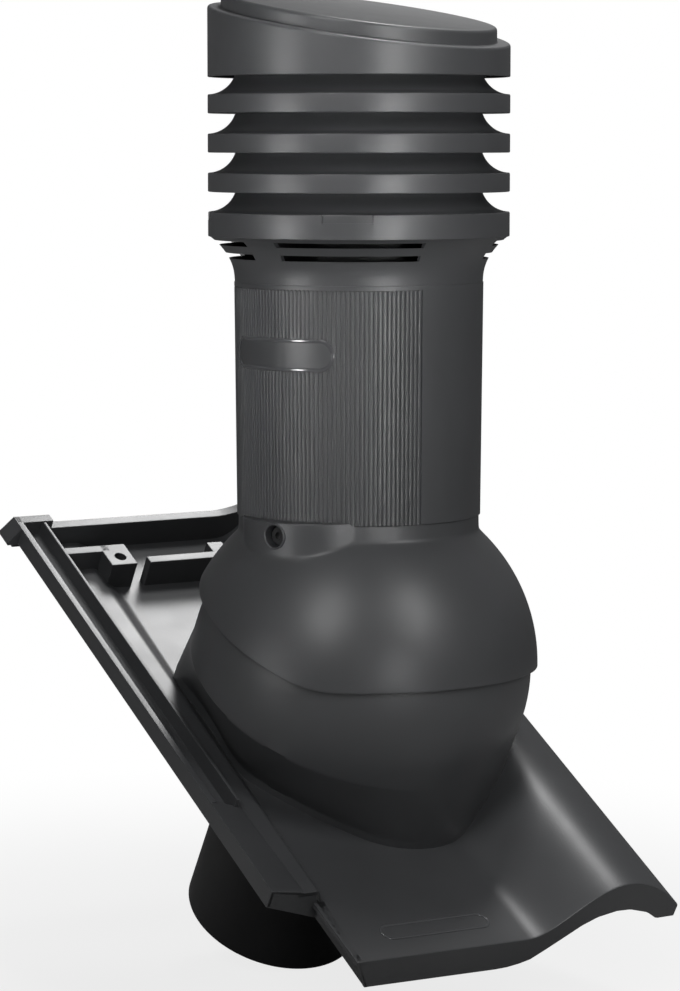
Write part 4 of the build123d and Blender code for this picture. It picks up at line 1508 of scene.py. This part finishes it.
        def over_roll(first: float, slope: float, lift: float) -> list[Point]:
            """Line over the roll, from a height at its start, moved up by lift."""
            points = ((start, first),) + self.roll
            return [(x, z + lift) for x, z in clamped_curve(points, (1.0, slope), self.roll_end, 24)]

        over, under = over_roll(self.rim_top - 3, 0.1, 3), over_roll(base + 1, 0.0, -1)
        outline = [(self.rim_left, base), (self.rim_left, self.rim_top)] + over + under[::-1]
        mould.prism(outline, self.head - self.rim_wide, outline, self.head, 0.8)
        for rib in self.head_ribs:
            mould.bar(*rib, base, self.rib_top)
        boss = Mould()
        boss.bar(*self.nail_boss, base, self.rib_top)
        boss.cut(self.nail_tool(-95.0))
        mould.join(boss)
        for x, high in self.nib_spots:
            mould.bar(x - self.nib_half, x + self.nib_half, *self.nib_span, self.nib_foot, high)

    def nail_tool(self, low: float) -> Mould:
        """Tool that drills the nail hole.

        Args:
            low: Height of the tool's lower end.

        Returns:
            A mould that holds the tool.
        """
        made, radius, high = Mould(), self.nail_radius, -40.0
        made.lathe([(0.02, low), (radius, low), (radius, high), (0.02, high)], 48)
        bmesh.ops.translate(made.mesh, vec=(*self.nail_spot, 0.0), verts=made.mesh.verts)
        return made

    def lay(self, along: float, up: float, high: float) -> Spot:
        """Place of a badge's point on the pan."""
        x, y = self.badge_spot[0] + along, self.badge_spot[1] + up
        side, pan = self.pan_levels(y)
        share = (x - self.fold_eave[1]) / (self.roll_start - self.fold_eave[1])
        return (x, y, side + (pan - side) * share + high)

    def build(self) -> None:
        """Make the tile as one moulding, and its blank badge."""
        mould = self.sheet()
        room = Mould()
        skin = self.housing_skin(self.thick - 0.5, -100.0, 120, solid=True)
        room.loops(skin.tolist(), True)
        mould.cut(room)
        mould.cut(self.nail_tool(-110.0))
        self.housing(mould)
        self.side_lap(mould)
        self.skirt(mould)
        self.head_details(mould)
        self.badge.field(mould, self.lay, 1.0)
        settle(mould.piece("tile_shell", self.setting.tile(), ANTHRACITE, 30.0),
               Body.TILE, Slot.PLASTIC, "tile_body")
        rim = Mould()
        self.badge.rim(rim, self.lay)
        settle(rim.piece("tile_badge_rim", self.setting.tile(), BADGE), Body.TILE, Slot.PLASTIC)


def inner_pieces() -> None:
    """Pieces whose CAD form is already right: ducts, rings, seal, screws and foam."""
    carry_over("duct_spigot", Body.TILE, Slot.DUCT, BLACK)
    carry_over("spigot_gasket", Body.TILE, Slot.RUBBER, RUBBER)
    carry_over("spigot_screws", Body.TILE, Slot.STEEL, STEEL)
    carry_over("clamp_ring", Body.CARRIER, Slot.DUCT, BLACK)
    carry_over("retaining_ring", Body.CARRIER, Slot.DUCT, BLACK)
    # The lock screw's near-black colour is painted shade for the dark screw hole.
    carry_over("lock_screw", Body.TURRET, Slot.STEEL, HOLE_SHADE_STEEL)
    carry_over("inner_pipe", Body.TURRET, Slot.DUCT, BLACK)
    carry_over("insulation", Body.TURRET, Slot.FOAM, FOAM)


def main() -> None:
    """Build the studio and every piece, in order."""
    logging.basicConfig(level=logging.INFO, format="%(message)s")
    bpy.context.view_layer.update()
    tilt = next(j for j in frame["joints"] if j["name"] == "roof_pitch")
    setting = Setting(Vector(tilt["pos_m"]))
    Studio().build()
    inner_pieces()
    repeater = Repeater()
    RoofTile(setting).build()
    SwivelDome(setting).build()
    FlutedSleeve(setting, repeater).build()
    Cowl(setting, repeater).build()


if __name__ == "__main__":
    main()
